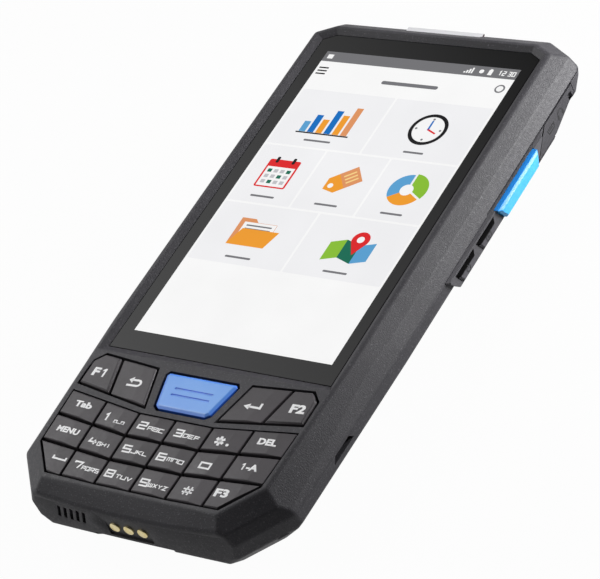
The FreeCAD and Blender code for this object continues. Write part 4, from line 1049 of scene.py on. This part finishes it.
wireLook = {"radius": 0.09, "pitch": 0.42, "sides": 6, "width": 9.6, "height": 8.8, "drop": 0.3,
            "weave": 0.45}


def wireTree():
    # a mesh of crossed wires, centred, lying flat
    tree, groupIn, groupOut = geometryTree("wireMesh", {
        "Width": "Float", "Height": "Float", "Pitch": "Float", "Wire": "Float",
        "Finish": "Material"})
    size = groupIn.outputs
    parts = tree.nodes.new("GeometryNodeJoinGeometry")
    weave, quarter = wireLook["weave"], math.pi / 2
    for axis, across, along, turn, lift in (("x", "Width", "Height", (quarter, 0, 0), weave),
                                            ("y", "Height", "Width", (0, quarter, 0), -weave)):
        rod = tree.nodes.new("GeometryNodeMeshCylinder")
        rod.inputs["Vertices"].default_value = wireLook["sides"]
        lay = tree.nodes.new("GeometryNodeTransform")
        lay.inputs["Rotation"].default_value = turn
        count = calc(tree, "FLOOR", calc(tree, "DIVIDE", size[across], size["Pitch"]), 0.0)
        wires = rowOf(tree, lay.outputs["Geometry"], count, size["Pitch"], axis,
                      calc(tree, "MULTIPLY", size["Wire"], lift))
        joinUp(tree, (size["Wire"], rod.inputs["Radius"]), (size[along], rod.inputs["Depth"]),
               (rod.outputs["Mesh"], lay.inputs["Geometry"]), (wires, parts.inputs["Geometry"]))
    closeTree(tree, parts.outputs["Geometry"], groupIn, groupOut)
    return tree


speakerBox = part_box("loudspeaker")
speakerMiddle = (speakerBox[0] + speakerBox[1]) / 2
speakerWires = growMesh("speakerWires", wireTree(), {
    "Width": wireLook["width"] * mm, "Height": wireLook["height"] * mm,
    "Pitch": wireLook["pitch"] * mm, "Wire": wireLook["radius"] * mm}, finishes["can_steel"])
placeMesh("speaker_mesh", speakerWires, homeBody, Matrix.Translation(
    (speakerMiddle.x, speakerMiddle.y, speakerBox[0].z - wireLook["drop"] * mm)))
print("loudspeaker mesh set")


# Housing screws

screwLook = {"headRadius": 1.85, "headHeight": 1.2, "socketRadius": 0.95, "socketDepth": 0.7,
             "shankRadius": 1.0, "length": 7.0, "seat": 8.0, "sides": 36,
             "rimShare": 0.86, "lobeShare": 0.66, "overrun": 0.5,
             "places": ((17.5, 136.8), (31.2, 60.3), (30.4, 18.3))}


def screwTree():
    # one screw with a six-lobed socket, set on every starting point, head down
    tree, groupIn, groupOut = geometryTree("housingScrew", {
        "Head Radius": "Float", "Head Height": "Float", "Socket Radius": "Float",
        "Socket Depth": "Float", "Shank Radius": "Float", "Length": "Float", "Finish": "Material"})
    size = groupIn.outputs

    def solid(kind, height, lift, **radii):
        made = tree.nodes.new(kind)
        made.inputs["Vertices"].default_value = screwLook["sides"]
        move = tree.nodes.new("GeometryNodeTransform")
        for label, value in radii.items():
            joinUp(tree, (value, made.inputs[label.replace("_", " ")]))
        joinUp(tree, (height, made.inputs["Depth"]),
               (made.outputs["Mesh"], move.inputs["Geometry"]),
               (vectorOf(tree, z=lift), move.inputs["Translation"]))
        return move.outputs["Geometry"]

    rim = calc(tree, "MULTIPLY", size["Head Radius"], screwLook["rimShare"])
    underside = calc(tree, "MULTIPLY", size["Head Height"], -1.0)
    head = solid("GeometryNodeMeshCone", size["Head Height"], underside,
                 Radius_Bottom=rim, Radius_Top=size["Head Radius"])
    star = tree.nodes.new("GeometryNodeCurveStar")
    star.inputs["Points"].default_value = 6
    fill = tree.nodes.new("GeometryNodeFillCurve")
    fill.mode = "NGONS"
    pull = tree.nodes.new("GeometryNodeExtrudeMesh")
    lower = tree.nodes.new("GeometryNodeTransform")
    carve = tree.nodes.new("GeometryNodeMeshBoolean")
    carve.operation = "DIFFERENCE"
    overrun = screwLook["overrun"] * mm
    depth = calc(tree, "ADD", size["Socket Depth"], overrun)
    bottom = calc(tree, "SUBTRACT", underside, overrun)
    joinUp(tree, (size["Socket Radius"], star.inputs["Outer Radius"]),
           (calc(tree, "MULTIPLY", size["Socket Radius"], screwLook["lobeShare"]),
            star.inputs["Inner Radius"]), (star.outputs["Curve"], fill.inputs["Curve"]),
           (fill.outputs["Mesh"], pull.inputs["Mesh"]), (depth, pull.inputs["Offset Scale"]))
    closed = tree.nodes.new("GeometryNodeJoinGeometry")
    flip = tree.nodes.new("GeometryNodeFlipFaces")
    weld = tree.nodes.new("GeometryNodeMergeByDistance")
    weld.inputs["Distance"].default_value = 0.000001
    joinUp(tree, (fill.outputs["Mesh"], flip.inputs["Mesh"]),
           (flip.outputs["Mesh"], closed.inputs["Geometry"]),
           (pull.outputs["Mesh"], closed.inputs["Geometry"]),
           (closed.outputs["Geometry"], weld.inputs["Geometry"]),
           (weld.outputs["Geometry"], lower.inputs["Geometry"]),
           (vectorOf(tree, z=bottom), lower.inputs["Translation"]),
           (head, carve.inputs["Mesh 1"]), (lower.outputs["Geometry"], carve.inputs["Mesh 2"]))
    shank = solid("GeometryNodeMeshCylinder", size["Length"],
                  calc(tree, "MULTIPLY", size["Length"], 0.5), Radius=size["Shank Radius"])
    parts = tree.nodes.new("GeometryNodeJoinGeometry")
    instances = tree.nodes.new("GeometryNodeInstanceOnPoints")
    joinUp(tree, (carve.outputs["Mesh"], parts.inputs["Geometry"]),
           (shank, parts.inputs["Geometry"]),
           (groupIn.outputs["Geometry"], instances.inputs["Points"]),
           (parts.outputs["Geometry"], instances.inputs["Instance"]))
    closeTree(tree, instances.outputs["Instances"], groupIn, groupOut)
    return tree


screwPoints = [(side * x, bottomEnd + level, screwLook["seat"])
               for x, level in screwLook["places"] for side in (1, -1)]
screws = growMesh("housingScrews", screwTree(), {
    "Head Radius": screwLook["headRadius"] * mm, "Head Height": screwLook["headHeight"] * mm,
    "Socket Radius": screwLook["socketRadius"] * mm, "Socket Depth": screwLook["socketDepth"] * mm,
    "Shank Radius": screwLook["shankRadius"] * mm, "Length": screwLook["length"] * mm},
    finishes["can_steel"], screwPoints)
screwPiece = placeMesh("housing_screws_dressed", screws, homeBody)
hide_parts("housing_screws")
print("housing screws set")


# Signs on the side

signLook = {
    "height": 0.03, "sink": 0.1, "stroke": 0.3, "thinStroke": 0.24,
    "coverInk": {"light": tone(30, 30, 32), "dark": tone(22, 22, 24), "wearScale": 700.0},
    "keyInk": {"light": tone(34, 34, 36), "dark": tone(26, 26, 28), "wearScale": 700.0},
}


def towardRight(x, y, z):
    # stands a flat shape up on the right side, its own X along Y
    turn = Matrix(((0, 0, 1, 0), (1, 0, 0, 0), (0, 1, 0, 0), (0, 0, 0, 1)))
    return Matrix.Translation((x * mm, y * mm, z * mm)) @ turn @ Matrix.Scale(mm, 4)


def plugSign(shape, low, high):
    # the mouth of the flat port
    ribbon(shape, [(-1.5, 0.55), (-1.1, -0.55), (1.1, -0.55), (1.5, 0.55)], signLook["stroke"],
           low, high, True)
    ribbon(shape, [(-0.7, 0.12), (0.7, 0.12)], signLook["thinStroke"], low, high)


def headphoneSign(shape, low, high):
    ribbon(shape, arc(0, 0, 1.05, 0, 180, 12), signLook["stroke"], low, high)
    for side in (-1, 1):
        prism(shape, plainBox(side * 1.0, -0.5, 0.6, 1.0), low, high)


def powerSign(shape, low, high):
    ribbon(shape, arc(0, 0, 0.7, 125, 415, 14), signLook["thinStroke"], low, high)
    ribbon(shape, [(0, 0.15), (0, 0.95)], signLook["thinStroke"], low, high)


def cameraSign(shape, low, high):
    ribbon(shape, [(-0.95, -0.6), (0.95, -0.6), (0.95, 0.5), (-0.95, 0.5)],
           signLook["thinStroke"], low, high, True)
    prism(shape, disc(0, -0.05, 0.3, 12), low, high)


coverInk = printInk("coverSignInk", signLook["coverInk"])
sideKeyInk = printInk("sideSignInk", signLook["keyInk"])
sideSigns = {
    "port_sign": (plugSign, (36.0, 50.8, 9.6), "port_cover_body", coverInk, "cover_rubber"),
    "headphone_sign": (headphoneSign, (36.0, 55.4, 9.8), "port_cover_body", coverInk,
                       "cover_rubber"),
    "camera_sign": (cameraSign, (37.3, bottomEnd + 90.5, 9.9), "camera_key_body", sideKeyInk,
                    "side_trim"),
    "power_sign": (powerSign, (37.3, bottomEnd + 81.2, 9.9), "power_key_body", sideKeyInk,
                   "side_trim"),
}
for signName, (drawSign, place, body, ink, slotName) in sideSigns.items():
    sign = bmesh.new()
    drawSign(sign, -signLook["sink"], signLook["height"])
    bmesh.ops.transform(sign, matrix=towardRight(*place), verts=sign.verts)
    addPiece(signName, sign, [ink], body)
print("side signs set")


# Rings round the lens on the back

lensLook = {"x": 14.0, "level": 117.0, "low": 0.12, "high": 0.4, "sides": 40,
            "rings": ((3.9, 0.7), (2.7, 0.25))}  # middle radius and width of each


def lensRings():
    shape = bmesh.new()
    for radius, width in lensLook["rings"]:
        circle = disc(lensLook["x"], bottomEnd + lensLook["level"], radius, lensLook["sides"])
        ribbon(shape, circle, width, lensLook["low"], lensLook["high"], True)
    toMetres(shape)
    addPiece("lens_rings", shape, [finishes["can_steel"]], homeBody)


lensRings()
print("lens rings set")


# Upper edge of the scanner window, seen in the notch of the top end; its pale top is the window
# finish's painted highlight

lipLook = {"y": 70.7, "width": 20.4, "depth": 1.2, "low": 15.2, "high": 15.65}


def windowLip():
    shape = bmesh.new()
    prism(shape, plainBox(0, lipLook["y"], lipLook["width"], lipLook["depth"]), lipLook["low"],
          lipLook["high"])
    toMetres(shape)
    addPiece("scanner_window_lip", shape, [finishes["scan_window"]], homeBody)


windowLip()
print("window lip set")


# Camera, floor and lights

sceneLook = {
    "lens": 171.1, "sensor": 36.0, "clip": (0.01, 20.0),
    "cameraPlace": (0.35532, -0.30275, 0.397247), "cameraTurn": (46.5807, 21.173, 30.9034),
    # each glow is the share of plain white seen by the camera and in mirrored rays
    "floor": {"size": 3.0, "drop": 0.0002, "shade": 0.5, "fibre": 0.01, "fibreScale": 40.0,
              "roughness": 0.9, "specular": 0.1, "glow": (0.97, 0.55)},
    "world": {"glow": (1.0, 0.04), "room": 0.08, "panelToward": (-1.0, 0.0, 0.6),
              "panelEdge": 0.76, "panelFull": 0.87, "panelLight": 1.15},
    "lampAim": (0, 0, 0.01),
    "lamps": {
        "rightTop": {"place": (0.16, 0.17, 0.066), "size": 0.12, "power": 0.76},
        "leftHigh": {"place": (-0.18, 0.0, 0.22), "size": 0.15, "power": 0.28},
    },
}
white = (1.0, 1.0, 1.0)


def addCamera():
    camera = bpy.data.cameras.new("photoCamera")
    camera.lens = sceneLook["lens"]
    camera.sensor_width = sceneLook["sensor"]
    camera.clip_start, camera.clip_end = sceneLook["clip"]
    holder = bpy.data.objects.new("photoCamera", camera)
    holder.location = sceneLook["cameraPlace"]
    holder.rotation_euler = [math.radians(a) for a in sceneLook["cameraTurn"]]
    bpy.context.scene.collection.objects.link(holder)
    bpy.context.scene.camera = holder


def showBackdrop(tree, shares, room, backdrop, out):
    # plain white to the camera, and a share of it in mirrored rays; the room lights the rest
    direct, mirrored = shares
    path = tree.nodes.new("ShaderNodeLightPath")
    total = calc(tree, "MULTIPLY", path.outputs["Is Camera Ray"], direct)
    for label in ("Is Glossy Ray", "Is Transmission Ray"):
        total = calc(tree, "MAXIMUM", total, calc(tree, "MULTIPLY", path.outputs[label], mirrored))
    mixer = tree.nodes.new("ShaderNodeMixShader")
    joinUp(tree, (total, mixer.inputs[0]), (room.outputs[0], mixer.inputs[1]),
           (backdrop.outputs[0], mixer.inputs[2]), (mixer.outputs[0], out.inputs["Surface"]))


def addFloor():
    look = sceneLook["floor"]
    shape = bmesh.new()
    bmesh.ops.create_grid(shape, x_segments=8, y_segments=8, size=look["size"])
    mesh = bpy.data.meshes.new("floor")
    shape.to_mesh(mesh)
    shape.free()
    mesh.transform(Matrix.Translation((0, 0, -look["drop"])))
    floor = bpy.data.objects.new("floor", mesh)
    bpy.context.scene.collection.objects.link(floor)
    material, tree, shader, coords = startMaterial("floorPaper")
    fibres = remap(tree, noiseOn(tree, coords, look["fibreScale"], 4.0), *noiseSpread)
    shade = look["shade"]
    setShader(tree, shader, {
        "Base Color": mixColours(tree, fibres, (shade,) * 3, (shade + look["fibre"],) * 3),
        "Roughness": look["roughness"], "Specular IOR Level": look["specular"]})
    glow = tree.nodes.new("ShaderNodeEmission")
    feed(tree, glow.inputs["Color"], white)
    out = next(n for n in tree.nodes if n.type == "OUTPUT_MATERIAL")
    showBackdrop(tree, look["glow"], shader, glow, out)
    mesh.materials.append(material)


def addWorld():
    # a dim room with one wide soft panel to the left; the camera sees plain white
    look = sceneLook["world"]
    world = bpy.data.worlds.new("studio")
    bpy.context.scene.world = world
    world.use_nodes = True
    tree = world.node_tree
    tree.nodes.clear()
    nearPanel = tree.nodes.new("ShaderNodeVectorMath")
    nearPanel.operation = "DOT_PRODUCT"
    nearPanel.inputs[1].default_value = Vector(look["panelToward"]).normalized()
    tree.links.new(tree.nodes.new("ShaderNodeTexCoord").outputs["Generated"], nearPanel.inputs[0])
    panel = remap(tree, nearPanel.outputs["Value"], look["panelEdge"], look["panelFull"], 0.0,
                  look["panelLight"])
    room = tree.nodes.new("ShaderNodeBackground")
    bright = tree.nodes.new("ShaderNodeBackground")
    for background in (room, bright):
        feed(tree, background.inputs["Color"], white)
    feed(tree, room.inputs["Strength"], calc(tree, "ADD", panel, look["room"]))
    out = tree.nodes.new("ShaderNodeOutputWorld")
    showBackdrop(tree, look["glow"], room, bright, out)


def addLamps():
    for name, lamp in sceneLook["lamps"].items():
        light = bpy.data.lights.new(name, "AREA")
        light.shape = "DISK"
        light.size = lamp["size"]
        light.energy = lamp["power"]
        holder = bpy.data.objects.new(name, light)
        holder.location = lamp["place"]
        aim = Vector(sceneLook["lampAim"]) - Vector(lamp["place"])
        holder.rotation_euler = aim.to_track_quat("-Z", "Y").to_euler()
        bpy.context.scene.collection.objects.link(holder)


addCamera()
addFloor()
addWorld()
addLamps()
bpy.context.scene.view_settings.view_transform = "Standard"
print("camera, floor and lights set")
